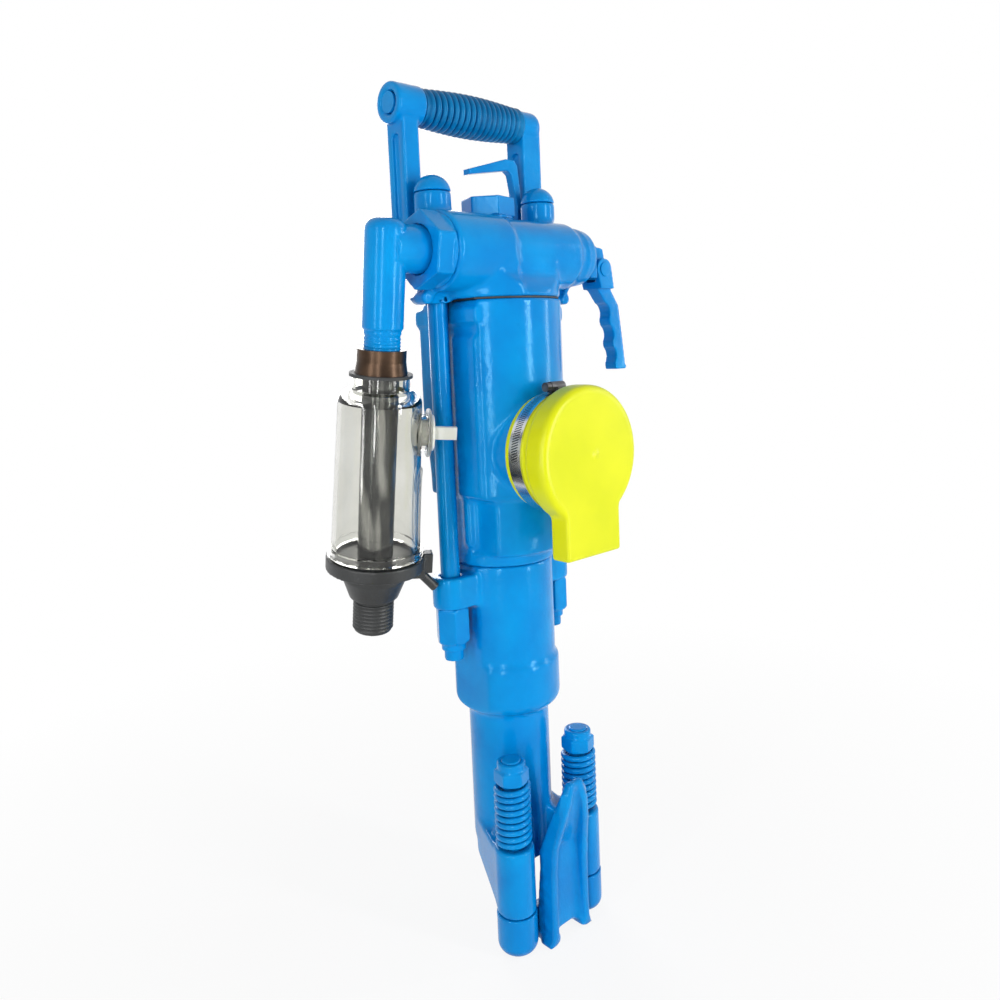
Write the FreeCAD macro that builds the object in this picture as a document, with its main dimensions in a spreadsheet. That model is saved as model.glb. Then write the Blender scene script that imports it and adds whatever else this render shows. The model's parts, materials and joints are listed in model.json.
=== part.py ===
"""Pneumatic rock drill, hand-held sinker pattern, as an assembly of separate pieces.

Millimetres. Z is the drill's own axis and points up to the hand grip, X runs along the grip
and the throttle barrel, -Y is the front with the exhaust and the steel retainer. The origin is
the centre of the mouth that takes the drill steel.
"""
import FreeCAD, Part
import math
import os
import Sketcher
from FreeCAD import Placement, Rotation, Vector

SIZES = {
    # Clearances and the overrun of every cut
    "running_gap": 0.3,
    "seat_gap": 0.05,
    "overrun": 1.0,
    # Tie bolts along the two sides
    "rod_radius": 7.0,
    "rod_offset": 51.0,
    "rod_head_radius": 13.0,
    "rod_head_height": 12.0,
    "rod_stub": 13.0,
    "nut_flats": 22.0,
    "nut_height": 26.0,
    # Front head: nose, barrel, band, collar and ears
    "nose_radius": 28.0,
    "nose_height": 14.0,
    "barrel_radius": 30.5,
    "barrel_height": 118.0,
    "band_radius": 40.0,
    "band_height": 38.0,
    "band_round": 9.0,
    "band_half_width": 35.5,
    "collar_radius": 37.5,
    "head_height": 231.0,
    "ear_height": 23.0,
    "ear_drop": 5.0,
    "ear_radius": 13.5,
    # Mouth for the drill steel
    "mouth_radius": 13.5,
    "mouth_length": 20.0,
    "nose_bush_wall": 6.5,
    "steel_flats": 22.0,
    "steel_play": 0.4,
    # Rotating chuck and its hexagon bush
    "chuck_radius": 25.5,
    "chuck_length": 175.0,
    "chuck_bush_radius": 19.0,
    "chuck_bush_length": 77.0,
    "spacer_wall": 6.0,
    "spline_width": 5.0,
    "spline_depth": 2.5,
    "spline_length": 34.0,
    # Cylinder
    "bore_radius": 31.5,
    "stroke": 55.0,
    "cylinder_height": 190.0,
    "cylinder_radius": 50.5,
    "cylinder_half_width": 40.5,
    "core_radius": 37.5,
    "skirt_height": 50.0,
    "foot_flange_radius": 39.5,
    "foot_flange_height": 9.0,
    "apron_radius": 47.5,
    "apron_half_width": 34.0,
    "apron_front": 14.0,
    "apron_height": 9.0,
    "lip_radius": 57.0,
    "lip_half_width": 43.0,
    "lip_height": 11.0,
    "lip_drop": 5.0,
    "lip_front": 31.0,
    "pad_thickness": 1.8,
    "pad_low": 52.0,
    "pad_high": 165.0,
    "pad_front": 27.0,
    "pad_back": 2.0,
    "back_reach": 37.5,
    "back_foot_reach": 30.0,
    "back_taper": 62.0,
    "back_radius": 55.3,
    "rib_radius": 5.5,
    "rib_front": 6.5,
    "rib_start": 15.0,
    "dowel_radius": 4.2,
    "dowel_height": 10.0,
    # Exhaust port and muffler
    "port_height": 82.5,
    "port_radius": 36.0,
    "port_hole_radius": 20.0,
    "port_reach": 72.0,
    "sleeve_start": 51.0,
    "sleeve_wall": 4.5,
    "muffler_radius": 47.0,
    "muffler_back": 77.5,
    "muffler_front": 94.5,
    "muffler_wall": 3.0,
    "muffler_round": 5.0,
    "nozzle_width": 53.0,
    "nozzle_depth": 15.5,
    "nozzle_drop": 69.0,
    "clamp_width": 11.0,
    "clamp_thickness": 1.4,
    "clamp_start": 57.0,
    "clamp_screw_radius": 3.6,
    "clamp_screw_length": 13.0,
    "clamp_head_radius": 3.2,
    "clamp_head_length": 4.0,
    # Valve gear stack in the cylinder's counterbore
    "stack_radius": 36.0,
    "chest_height": 17.0,
    "chest_recess": 6.0,
    "valve_outer": 29.0,
    "valve_inner": 20.0,
    "valve_height": 3.4,
    "cover_height": 9.0,
    "ratchet_tooth_radius": 30.5,
    "ratchet_crest_radius": 27.6,
    "ratchet_teeth": 16,
    # Rifle bar, pawls and rifle nut
    "rifle_radius": 10.0,
    "rifle_root_radius": 8.4,
    "rifle_flutes": 6,
    "rifle_length": 120.0,
    "rifle_lead": 860.0,
    "rifle_head_radius": 24.0,
    "rifle_head_height": 12.0,
    "rifle_play": 0.5,
    "pawl_width": 6.0,
    "pawl_length": 8.0,
    "pawl_height": 10.0,
    "nut_outer_radius": 17.0,
    "nut_length": 33.0,
    # Blow tube down the axis
    "tube_radius": 3.0,
    "tube_wall": 0.8,
    "tube_play": 0.9,
    # Piston and guide
    "piston_play": 0.3,
    "piston_head_length": 50.0,
    "piston_stem_radius": 17.4,
    "strike_gap": 6.0,
    "piston_chamfer": 2.0,
    "guide_length": 37.0,
    # Back head
    "gasket_thickness": 1.0,
    "neck_radius": 50.0,
    "neck_half_width": 48.0,
    "neck_height": 25.0,
    "rod_groove_gap": 2.0,
    "rod_groove_height": 15.0,
    "column_top": 495.5,
    "throttle_front": 18.0,
    "throttle_level": 453.5,
    "throttle_left_radius": 27.0,
    "throttle_left_end": 64.2,
    "throttle_step": 13.0,
    "throttle_right_radius": 25.0,
    "throttle_right_end": 65.5,
    "end_boss_radius": 21.6,
    "end_boss_length": 12.5,
    "end_boss_round": 8.0,
    "ridge_front": 9.2,
    "ridge_back": 33.0,
    "ridge_left": 64.5,
    "ridge_right": 71.0,
    "ridge_low": 438.0,
    "ridge_top": 466.0,
    "lobe_reach": 72.0,
    "lobe_inner": 46.0,
    "lobe_low": 419.0,
    "lobe_front": 9.0,
    "lobe_back": 6.0,
    "ring_boss_radius": 4.6,
    "ring_boss_hole": 2.3,
    "ring_boss_height": 3.0,
    "ring_boss_out": 67.5,
    "ring_boss_level": 423.0,
    # Hexagon plug on the axis
    "plug_flats": 34.0,
    "plug_boss_radius": 19.2,
    "plug_boss_top": 480.0,
    "plug_washer": 1.5,
    "plug_head_height": 13.5,
    "plug_shank_radius": 8.0,
    "plug_shank_length": 16.0,
    # Throttle valve, lever and pin
    "valve_radius": 9.2,
    "valve_port_radius": 6.0,
    "valve_left_end": 18.0,
    "block_start": 79.0,
    "block_half_thickness": 10.0,
    "block_low": 438.0,
    "block_top": 462.5,
    "block_neck": 87.0,
    "tongue_half_thickness": 4.5,
    "lever_pin_out": 95.5,
    "lever_pin_level": 445.0,
    "lever_pin_radius": 3.5,
    "lever_pin_head": 5.6,
    "lever_pin_proud": 1.0,
    "lever_eye_radius": 8.6,
    "lever_half_thickness": 6.0,
    "lever_root_level": 430.0,
    "lever_root_inner": 91.0,
    "lever_root_outer": 106.5,
    "lever_knee_level": 417.0,
    "lever_knee_inner": 101.8,
    "lever_knee_outer": 115.8,
    "lever_mid_level": 392.0,
    "lever_mid_inner": 107.6,
    "lever_mid_outer": 119.6,
    "lever_tip_level": 366.0,
    "lever_tip_inner": 110.8,
    "lever_tip_outer": 122.6,
    "lever_lip": 1.8,
    "lever_scallop_radius": 9.0,
    "lever_scallop_depth": 1.8,
    "lever_scallops": 3,
    # Hand grip
    "grip_back": 22.5,
    "grip_level": 558.4,
    "grip_rod_radius": 7.2,
    "boss_left_radius": 14.1,
    "boss_right_radius": 12.2,
    "boss_left_round": 1.5,
    "boss_right_round": 7.0,
    "boss_left_end": 68.2,
    "boss_left_inner": 44.2,
    "boss_right_inner": 51.0,
    "boss_right_end": 71.4,
    "arm_left_inner": 49.5,
    "arm_right_inner": 51.0,
    "arm_left_thickness": 14.0,
    "arm_right_thickness": 19.3,
    "arm_half_depth": 9.5,
    "arm_slot_depth": 3.0,
    "arm_slot_width": 8.0,
    "arm_slot_low": 482.0,
    "arm_slot_high": 534.0,
    "boss_ring_radius": 9.2,
    "boss_ring_depth": 1.5,
    "sleeve_gap": 0.4,
    "sleeve_end_radius": 13.4,
    "sleeve_mid_radius": 15.6,
    "sleeve_groove_radius": 2.0,
    "sleeve_groove_margin": 4.5,
    "sleeve_grooves": 15,
    # Trigger lever under the grip
    "trigger_back": 16.6,
    "trigger_half_thickness": 3.5,
    "trigger_pivot_out": 45.2,
    "trigger_pivot_level": 474.0,
    "trigger_pin_radius": 2.5,
    "trigger_hub_radius": 5.5,
    "trigger_tip_out": -5.0,
    "trigger_tip_level": 517.0,
    "trigger_tip_height": 4.0,
    "trigger_top_level": 530.0,
    "trigger_stem_width": 5.8,
    "trigger_finger_height": 8.5,
    "trigger_lug_height": 15.0,
    "trigger_lug_width": 9.6,
    # Air inlet: gland nut and elbow
    "spigot_radius": 20.5,
    "spigot_end": 72.0,
    "spigot_hole_radius": 8.0,
    "gland_flats": 46.0,
    "gland_start": 66.0,
    "gland_end": 80.0,
    "gland_lip": 2.5,
    "gland_washer_radius": 25.0,
    "stub_radius": 16.0,
    "stub_collar_radius": 19.6,
    "stub_collar_length": 3.2,
    "inlet_seal_thickness": 2.0,
    "pipe_out": 105.0,
    "pipe_radius": 13.6,
    "pipe_top": 18.6,
    "pipe_round": 8.0,
    "pipe_smooth": 52.0,
    "pipe_bore": 9.0,
    "thread_radius": 12.4,
    "thread_pitch": 2.3,
    "thread_depth": 0.9,
    "thread_turns": 6,
    "strainer_wall": 1.0,
    "strainer_length": 34.0,
    "inlet_tilt": 8.8,
    # Line lubricator, measured down from the barrel axis
    "collar_ring_radius": 16.2,
    "collar_ring_top": 64.5,
    "collar_ring_length": 16.0,
    "collar_ring_step": 1.2,
    "upper_gasket_radius": 20.8,
    "upper_gasket_thickness": 2.0,
    "cup_neck_radius": 19.4,
    "cup_neck_length": 8.5,
    "cup_shoulder_drop": 9.0,
    "cup_shoulder_radius": 27.8,
    "cup_bottom_radius": 30.0,
    "cup_length": 122.0,
    "cup_wall": 2.6,
    "cup_rim_radius": 32.6,
    "cup_rim_height": 5.0,
    "oil_tube_radius": 12.2,
    "oil_tube_wall": 1.2,
    "base_ring_thickness": 1.8,
    "base_flange_radius": 33.4,
    "base_flange_height": 9.0,
    "base_body_radius": 22.0,
    "base_body_drop": 21.0,
    "nipple_radius": 13.2,
    "nipple_length": 25.0,
    "side_turn": 31.0,
    "filler_drop": 120.0,
    "filler_boss_radius": 12.5,
    "filler_hole_radius": 9.0,
    "filler_boss_reach": 31.5,
    "filler_gasket_thickness": 1.5,
    "filler_flange_radius": 13.0,
    "filler_flange_thickness": 3.0,
    "filler_shank_length": 8.0,
    "filler_tab_length": 16.0,
    "filler_tab_width": 8.5,
    "filler_tab_thickness": 4.0,
    "oil_boss_half_width": 6.5,
    "oil_boss_reach": 34.5,
    "oil_block_reach": 39.5,
    "oil_block_half_width": 5.0,
    "oil_block_rise": 1.5,
    "oil_block_hang": 3.5,
    "oil_screw_radius": 3.3,
    "oil_screw_start": 31.5,
    "oil_screw_drop": 220.0,
    "oil_screw_length": 15.5,
    # Steel retainer and its sprung bolts
    "side_bolt_out": 34.9,
    "side_bolt_front": 38.8,
    "side_boss_radius": 14.4,
    "side_boss_low": 19.0,
    "side_boss_high": 30.5,
    "web_half_width": 13.5,
    "web_low": 26.0,
    "web_high": 62.0,
    "wall_low": 0.0,
    "wall_inset": 0.1,
    "side_bolt_radius": 7.0,
    "side_head_radius": 14.8,
    "side_head_height": 30.0,
    "side_head_round": 8.0,
    "side_bolt_top": 95.0,
    "side_nut_height": 16.0,
    "spring_radius": 11.4,
    "spring_wire": 1.95,
    "spring_turns": 8,
    "spring_closed_gap": 0.45,
    "retainer_pin_level": 34.0,
    "retainer_pin_radius": 5.0,
    "retainer_hub_radius": 9.0,
    "retainer_hub_half": 19.8,
    "retainer_thickness": 6.0,
    "retainer_foot_front": 55.0,
    "retainer_mid_front": 53.0,
    "retainer_mid_level": 22.0,
    "retainer_top_front": 69.0,
    "retainer_top_level": 76.0,
    "retainer_half_width": 19.5,
    "retainer_top_half_width": 7.0,
    "retainer_rib_out": 11.5,
    "retainer_rib_width": 4.5,
    "retainer_rib_height": 5.0,
    "claw_level": 48.0,
    "claw_out": 23.0,
    "claw_width": 7.5,
    "claw_reach": 12.0,
    "claw_thickness": 6.5,
    "claw_notch_radius": 14.6,
}

# Ratios that are not lengths
HEX_CORNER_SHARE = 1 / math.cos(math.radians(30)) / 2

doc = FreeCAD.newDocument("RockDrill")
sheet = doc.addObject("Spreadsheet::Sheet", "Sizes")
for row, (alias, number) in enumerate(SIZES.items(), start=1):
    sheet.set(f"A{row}", alias)
    sheet.set(f"B{row}", str(number))
    sheet.setAlias(f"B{row}", alias)
doc.recompute()


class Size:
    """A length, with its value now and the sheet formula that keeps it."""

    def __init__(self, value, formula):
        self.value = value
        self.formula = formula

    @staticmethod
    def of(thing):
        return thing if isinstance(thing, Size) else Size(float(thing), f"({float(thing):.9g})")

    def _with(self, other, sign, value):
        return Size(value, f"({self.formula} {sign} {Size.of(other).formula})")

    def __add__(self, other):
        return self._with(other, "+", self.value + Size.of(other).value)

    __radd__ = __add__

    def __sub__(self, other):
        return self._with(other, "-", self.value - Size.of(other).value)

    def __rsub__(self, other):
        return Size.of(other) - self

    def __mul__(self, other):
        return self._with(other, "*", self.value * Size.of(other).value)

    __rmul__ = __mul__

    def __truediv__(self, other):
        return self._with(other, "/", self.value / Size.of(other).value)

    def __neg__(self):
        return Size(-self.value, f"(0 - {self.formula})")

    def root(self):
        return Size(math.sqrt(self.value), f"sqrt({self.formula})")


class SheetSizes:
    """Reads a driving size from the sheet by its alias."""

    def __getattr__(self, alias):
        return Size(float(sheet.get(alias)), f"Sizes.{alias}")


size = SheetSizes()
NODES = {}
AXIS_TURNS = {
    "Z": Rotation(),
    "X": Rotation(Vector(0, 1, 0), 90),
    "Y": Rotation(Vector(1, 0, 0), -90),
}
PLANE_NORMALS = {"XY_Plane": "z", "XZ_Plane": "y", "YZ_Plane": "x"}


def bind(thing, prop, length):
    thing.setExpression(prop, Size.of(length).formula)


def place(thing, base, turn=Rotation()):
    """Bind the place of a solid to the sheet, with a fixed turn."""
    thing.Placement = Placement(Vector(), turn)
    for axis, length in zip("xyz", base):
        bind(thing, f"Placement.Base.{axis}", length)
    return thing


def rod(name, radius, length, base, axis="Z"):
    solid = doc.addObject("Part::Cylinder", name)
    bind(solid, "Radius", radius)
    bind(solid, "Height", length)
    return place(solid, base, AXIS_TURNS[axis])


def brick(name, low, high):
    solid = doc.addObject("Part::Box", name)
    for prop, start, end in zip(("Length", "Width", "Height"), low, high):
        bind(solid, prop, Size.of(end) - start)
    return place(solid, low)


def hexagon(name, flats, length, base, axis="Z", turn=0.0):
    """A six-sided prism; the turn in degrees is about its own axis."""
    solid = doc.addObject("Part::Prism", name)
    solid.Polygon = 6
    bind(solid, "Circumradius", flats * HEX_CORNER_SHARE)
    bind(solid, "Height", length)
    return place(solid, base, AXIS_TURNS[axis] * Rotation(Vector(0, 0, 1), turn))


def joined(name, *solids, refine=True):
    whole = doc.addObject("Part::MultiFuse", name)
    whole.Shapes = list(solids)
    whole.Refine = refine
    return whole


def carved(name, solid, *tools, refine=True):
    """The solid less its tools, which are fused first where there are several."""
    cut = doc.addObject("Part::Cut", name)
    cut.Base = solid
    cut.Tool = tools[0] if len(tools) == 1 else joined(name + "_tools", *tools)
    cut.Refine = refine
    return cut


def shared(name, one, other):
    common = doc.addObject("Part::Common", name)
    common.Base = one
    common.Tool = other
    return common


def mirrored(name, solid):
    """The same solid on the other side of the drill, across X."""
    copy = doc.addObject("Part::Mirroring", name)
    copy.Source = solid
    copy.Base = Vector()
    copy.Normal = Vector(1, 0, 0)
    return copy


def grouped(name, *solids):
    group = doc.addObject("Part::Compound", name)
    group.Links = list(solids)
    return group


def arc_between(start, end, radius, leftward):
    """Centre of the minor arc from start to end that turns left or right."""
    middle = (start + end) * 0.5
    chord = end - start
    across = Vector(-chord.y, chord.x, 0).normalize()
    rise = math.sqrt(max(radius ** 2 - (chord.Length / 2) ** 2, 0.0))
    return middle + across * (rise if leftward else -rise)


def draw(sketch, outline):
    """Closed outline. A point is (a, b), or (a, b, radius, turn) where an arc arrives at it."""
    ends = []
    for i, point in enumerate(outline):
        before = outline[i - 1]
        start = Vector(Size.of(before[0]).value, Size.of(before[1]).value, 0)
        end = Vector(Size.of(point[0]).value, Size.of(point[1]).value, 0)
        if len(point) == 2:
            geo = sketch.addGeometry(Part.LineSegment(start, end), False)
            ends.append((geo, 1, 2))
            continue
        radius, leftward = point[2], point[3] == "left"
        centre = arc_between(start, end, radius.value, leftward)
        first, last = (start, end) if leftward else (end, start)
        angles = [math.atan2(p.y - centre.y, p.x - centre.x) for p in (first, last)]
        circle = Part.Circle(centre, Vector(0, 0, 1), radius.value)
        geo = sketch.addGeometry(Part.ArcOfCircle(circle, *angles), False)
        ends.append((geo, 1, 2) if leftward else (geo, 2, 1))
        which = sketch.addConstraint(Sketcher.Constraint("Radius", geo, radius.value))
        sketch.setExpression(f"Constraints[{which}]", radius.formula)
    for i, (geo, _, last) in enumerate(ends):
        following, first, _ = ends[(i + 1) % len(ends)]
        sketch.addConstraint(Sketcher.Constraint("Coincident", geo, last, following, first))
        for kind, length, axis in (("DistanceX", outline[i][0], -2), ("DistanceY", outline[i][1], -1)):
            length = Size.of(length)
            if abs(length.value) < 1e-9:
                sketch.addConstraint(Sketcher.Constraint("PointOnObject", geo, last, axis))
                continue
            which = sketch.addConstraint(Sketcher.Constraint(kind, -1, 1, geo, last, length.value))
            sketch.setExpression(f"Constraints[{which}]", length.formula)


def sketched(name, plane, outline):
    body = doc.addObject("PartDesign::Body", name)
    sketch = body.newObject("Sketcher::SketchObject", name + "_sketch")
    origin_plane = next(f for f in body.Origin.OriginFeatures if f.Role == plane)
    sketch.AttachmentSupport = (origin_plane, [""])
    sketch.MapMode = "FlatFace"
    draw(sketch, outline)
    return body, sketch


def turned(name, outline, base=(0, 0, 0), axis="Z"):
    """A body of revolution from an outline of (radius, height) points."""
    body, sketch = sketched(name, "XZ_Plane", outline)
    turn = body.newObject("PartDesign::Revolution", name + "_turn")
    turn.Profile = sketch
    turn.ReferenceAxis = (sketch, ["V_Axis"])
    turn.Angle = 360
    return place(body, base, AXIS_TURNS[axis])


def slab(name, plane, outline, low, high):
    """A flat body whose outline lies in an origin plane, from low to high along the third axis."""
    body, sketch = sketched(name, plane, outline)
    pad = body.newObject("PartDesign::Pad", name + "_pad")
    pad.Profile = sketch
    bind(pad, "Length", Size.of(high) - low)
    start = high if plane == "XZ_Plane" else low
    base = {axis: 0 for axis in "xyz"}
    base[PLANE_NORMALS[plane]] = start
    return place(body, (base["x"], base["y"], base["z"]))


def held(name, shape):
    """A feature whose shape is worked out here from the sheet's sizes."""
    feature = doc.addObject("Part::Feature", name)
    feature.Shape = shape
    return feature


def node(name, thing):
    """Hand a finished piece over under its own name."""
    thing.Label = name
    NODES[name] = thing
    return thing


# Heights that several pieces share
head_top = size.head_height
cylinder_top = head_top + size.cylinder_height
back_head_low = cylinder_top + size.gasket_thickness
skirt_low = head_top + size.skirt_height
ear_top = head_top - size.ear_drop
ear_low = ear_top - size.ear_height
bore_low = head_top + size.guide_length
bore_high = bore_low + size.piston_head_length + size.stroke + size.overrun
chest_top = bore_high + size.chest_height
cover_top = chest_top + size.cover_height
port_level = head_top + size.port_height
axis_front = -size.throttle_front


def rod_pair(name, radius, low, high):
    """Two upright round bars or holes on the tie bolt centres."""
    right = rod(name + "_right", radius, high - low, (size.rod_offset, 0, low))
    return right, mirrored(name + "_left", right)


def make_front_head():
    """Nose, barrel, band and collar in one casting, with the tie bolt ears and side bolt bosses."""
    band_top = size.barrel_height + size.band_height
    shell = turned("head_shell", [
        (0, 0),
        (size.nose_radius, 0),
        (size.barrel_radius, size.nose_height),
        (size.barrel_radius, size.barrel_height),
        (size.band_radius - size.band_round, size.barrel_height),
        (size.band_radius, size.barrel_height + size.band_round, size.band_round, "left"),
        (size.band_radius, band_top - size.pad_thickness),
        (size.collar_radius, band_top),
        (size.collar_radius, head_top),
        (0, head_top),
    ])
    reach = size.band_radius + size.overrun
    slot = brick("head_width", (-size.band_half_width, -reach, -size.overrun),
                 (size.band_half_width, reach, head_top + size.overrun))
    trunk = shared("head_trunk", shell, slot)
    ear_end = rod("ear_end", size.ear_radius, size.ear_height, (size.rod_offset, 0, ear_low))
    ear_root = brick("ear_root", (size.barrel_radius, -size.ear_radius, ear_low),
                     (size.rod_offset, size.ear_radius, ear_top))
    ear = joined("ear", ear_end, ear_root)
    boss = rod("side_boss", size.side_boss_radius, size.side_boss_low + size.side_boss_high,
               (size.side_bolt_out, -size.side_bolt_front, -size.side_boss_low))
    span = (size.side_bolt_out * size.side_bolt_out + size.side_bolt_front * size.side_bolt_front).root()
    bearing = math.degrees(math.atan2(-size.side_bolt_front.value, size.side_bolt_out.value)) - 90
    turn = Placement(Vector(), Rotation(Vector(0, 0, 1), bearing))
    lean = (size.barrel_radius - size.side_boss_radius) / span
    near, far = size.barrel_radius * lean, span + size.side_boss_radius * lean
    near_out = (size.barrel_radius * size.barrel_radius - near * near).root() - size.wall_inset
    far_out = (size.side_boss_radius * size.side_boss_radius - (far - span) * (far - span)).root() - size.wall_inset
    wall = doc.addObject("Part::Wedge", "flank_wall")
    for prop, length in (
            ("Xmin", -near_out), ("Xmax", 0), ("Ymin", near), ("Ymax", far),
            ("Zmin", size.wall_low), ("Zmax", size.side_boss_high - size.pad_thickness),
            ("X2min", -far_out), ("X2max", 0),
            ("Z2min", -size.side_boss_low + size.pad_thickness),
            ("Z2max", size.side_boss_high - size.pad_thickness)):
        bind(wall, prop, length)
    wall.Placement = turn
    web = doc.addObject("Part::Wedge", "side_web")
    reach = span - size.side_boss_radius + size.pad_thickness
    for prop, length in (
            ("Xmin", -size.web_half_width), ("Xmax", size.web_half_width), ("Ymin", 0), ("Ymax", reach),
            ("Zmin", size.web_low), ("Zmax", size.web_high),
            ("X2min", -size.web_half_width), ("X2max", size.web_half_width),
            ("Z2min", -size.side_boss_low + size.pad_thickness),
            ("Z2max", size.side_boss_high - size.pad_thickness)):
        bind(web, prop, length)
    web.Placement = turn
    flank = joined("flank", ear, boss, web, wall)
    casting = joined("head_casting", trunk, flank, mirrored("other_flank", flank))
    bore_radius = size.chuck_radius + size.running_gap
    chuck_hole = rod("chuck_hole", bore_radius, head_top - size.mouth_length + size.overrun,
                     (0, 0, size.mouth_length))
    nose_hole = rod("nose_hole", size.mouth_radius + size.nose_bush_wall + size.seat_gap,
                    size.side_boss_low + size.mouth_length + size.overrun, (0, 0, -size.side_boss_low))
    rods = rod_pair("head_rod_hole", size.rod_radius + size.seat_gap, ear_low - size.overrun,
                    ear_top + size.overrun)
    side = rod("side_hole", size.side_bolt_radius + size.running_gap,
               size.side_boss_low + size.side_boss_high + size.overrun * 2,
               (size.side_bolt_out, -size.side_bolt_front, -size.side_boss_low - size.overrun))
    return node("front_head", carved("front_head", casting, chuck_hole, nose_hole, *rods, side,
                                     mirrored("other_side_hole", side)))


def make_nose_bush():
    outer = size.mouth_radius + size.nose_bush_wall
    ring = turned("nose_bush", [
        (size.mouth_radius, 0),
        (outer, 0),
        (outer, size.mouth_length - size.seat_gap),
        (size.mouth_radius, size.mouth_length - size.seat_gap),
    ])
    return node("nose_bush", ring)


def quarter_set(name, low, high):
    """Four blocks a quarter turn apart about the drill axis."""
    blocks = []
    for i in range(4):
        block = grouped(f"{name}_{i}", brick(f"{name}_block_{i}", low, high))
        block.Placement = Placement(Vector(), Rotation(Vector(0, 0, 1), 90 * i))
        blocks.append(block)
    return blocks


def make_chuck():
    """Sleeve that turns the steel, with the hexagon bush pressed in its lower end."""
    low = size.mouth_length + size.running_gap
    high = low + size.chuck_length
    bush_top = low + size.chuck_bush_length
    sleeve = rod("chuck_sleeve", size.chuck_radius, size.chuck_length, (0, 0, low))
    seat = rod("bush_seat", size.chuck_bush_radius + size.seat_gap, size.chuck_bush_length + size.overrun,
               (0, 0, low - size.overrun))
    way = rod("stem_way", size.piston_stem_radius + size.running_gap, high - bush_top + size.overrun * 2,
              (0, 0, bush_top - size.overrun))
    tube = carved("chuck_tube", sleeve, seat, way)
    inner = size.piston_stem_radius - size.spline_depth + size.running_gap
    keys = quarter_set("chuck_key", (inner, -size.spline_width / 2, high - size.spline_length),
                       (size.chuck_radius - size.overrun * 2, size.spline_width / 2, high))
    node("chuck", joined("chuck", tube, *keys))
    spacer = turned("chuck_spacer", [
        (size.chuck_radius - size.spacer_wall, high + size.running_gap),
        (size.chuck_radius + size.running_gap - size.seat_gap, high + size.running_gap),
        (size.chuck_radius + size.running_gap - size.seat_gap, head_top),
        (size.chuck_radius - size.spacer_wall, head_top),
    ])
    node("chuck_spacer", spacer)
    bush = rod("bush_body", size.chuck_bush_radius, size.chuck_bush_length, (0, 0, low))
    socket = hexagon("steel_socket", size.steel_flats + size.steel_play,
                     size.chuck_bush_length + size.overrun * 2, (0, 0, low - size.overrun))
    node("chuck_bush", carved("chuck_bush", bush, socket))


def make_cylinder():
    """Cylinder casting with flats for the tie bolts, a lip, a bare pad and the exhaust port."""
    half = size.cylinder_half_width
    top = cylinder_top
    core = rod("core", size.core_radius, size.cylinder_height, (0, 0, head_top))
    foot = rod("foot_flange", size.foot_flange_radius, size.foot_flange_height, (0, 0, head_top))
    reach = size.lip_radius + size.overrun
    barrel = rod("wide_round", size.cylinder_radius, top - skirt_low, (0, 0, skirt_low))
    wide = shared("wide_body", barrel, brick("wide_width", (-half, -reach, skirt_low), (half, reach, top)))
    back_profile = slab("back_profile", "YZ_Plane", [
        (0, skirt_low),
        (size.back_foot_reach, skirt_low),
        (size.back_reach, skirt_low + size.back_taper),
        (size.back_reach, top - size.lip_drop),
        (0, top - size.lip_drop),
    ], -half, half)
    back = shared("back_body", back_profile, rod("back_round", size.back_radius, top - skirt_low, (0, 0, skirt_low)))
    lip_high = top - size.lip_drop
    lip_low = lip_high - size.lip_height
    lip = shared("lip", rod("lip_round", size.lip_radius, size.lip_height, (0, 0, lip_low)),
                 brick("lip_width", (-size.lip_half_width, -size.lip_front, lip_low),
                       (size.lip_half_width, reach, lip_high)))
    apron_low = head_top + size.apron_height
    apron = shared("apron", rod("apron_round", size.apron_radius, skirt_low - apron_low, (0, 0, apron_low)),
                   brick("apron_width", (-size.apron_half_width, -reach, apron_low),
                         (size.apron_half_width, -size.apron_front, skirt_low)))
    pad = brick("name_pad", (-half - size.pad_thickness, -size.pad_front, head_top + size.pad_low),
                (-size.core_radius, -size.pad_back, head_top + size.pad_high))
    rib_out = half - size.rib_radius
    rib = rod("side_rib", size.rib_radius, size.skirt_height - size.rib_start + size.overrun,
              (-rib_out, -size.rib_front, head_top + size.rib_start))
    dowel = rod("side_dowel", size.dowel_radius, size.dowel_height, (-rib_out, -size.rib_front, head_top))
    column = joined("rib_and_dowel", rib, dowel)
    port = rod("port_boss", size.port_radius, size.port_reach - size.core_radius / 2,
               (0, -size.port_reach, port_level), "Y")
    trunk = joined("cylinder_trunk", core, foot, wide, back, lip)
    casting = joined("cylinder_casting", trunk, apron, pad, column, mirrored("other_column", column), port)
    bore = rod("bore", size.bore_radius, bore_high - bore_low + size.overrun, (0, 0, bore_low))
    guide_seat = rod("guide_seat", size.bore_radius, bore_low - head_top + size.overrun,
                     (0, 0, head_top - size.overrun))
    counterbore = rod("counterbore", size.stack_radius + size.seat_gap, top - bore_high + size.overrun,
                      (0, 0, bore_high))
    port_hole = rod("port_hole", size.port_hole_radius, size.port_reach - size.bore_radius / 2,
                    (0, -size.port_reach - size.overrun, port_level), "Y")
    node("cylinder", carved("cylinder", casting, bore, guide_seat, counterbore, port_hole))
    rim = size.neck_radius - size.gasket_thickness
    sheet_round = shared("gasket_sheet", rod("gasket_round", rim, size.gasket_thickness, (0, 0, top)),
                         brick("gasket_width", (-half, -rim, top), (half, rim, top + size.gasket_thickness)))
    sheet_hole = rod("gasket_hole", size.stack_radius + size.seat_gap,
                     size.gasket_thickness + size.overrun * 2, (0, 0, top - size.overrun))
    node("cylinder_gasket", carved("cylinder_gasket", sheet_round, sheet_hole))


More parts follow.
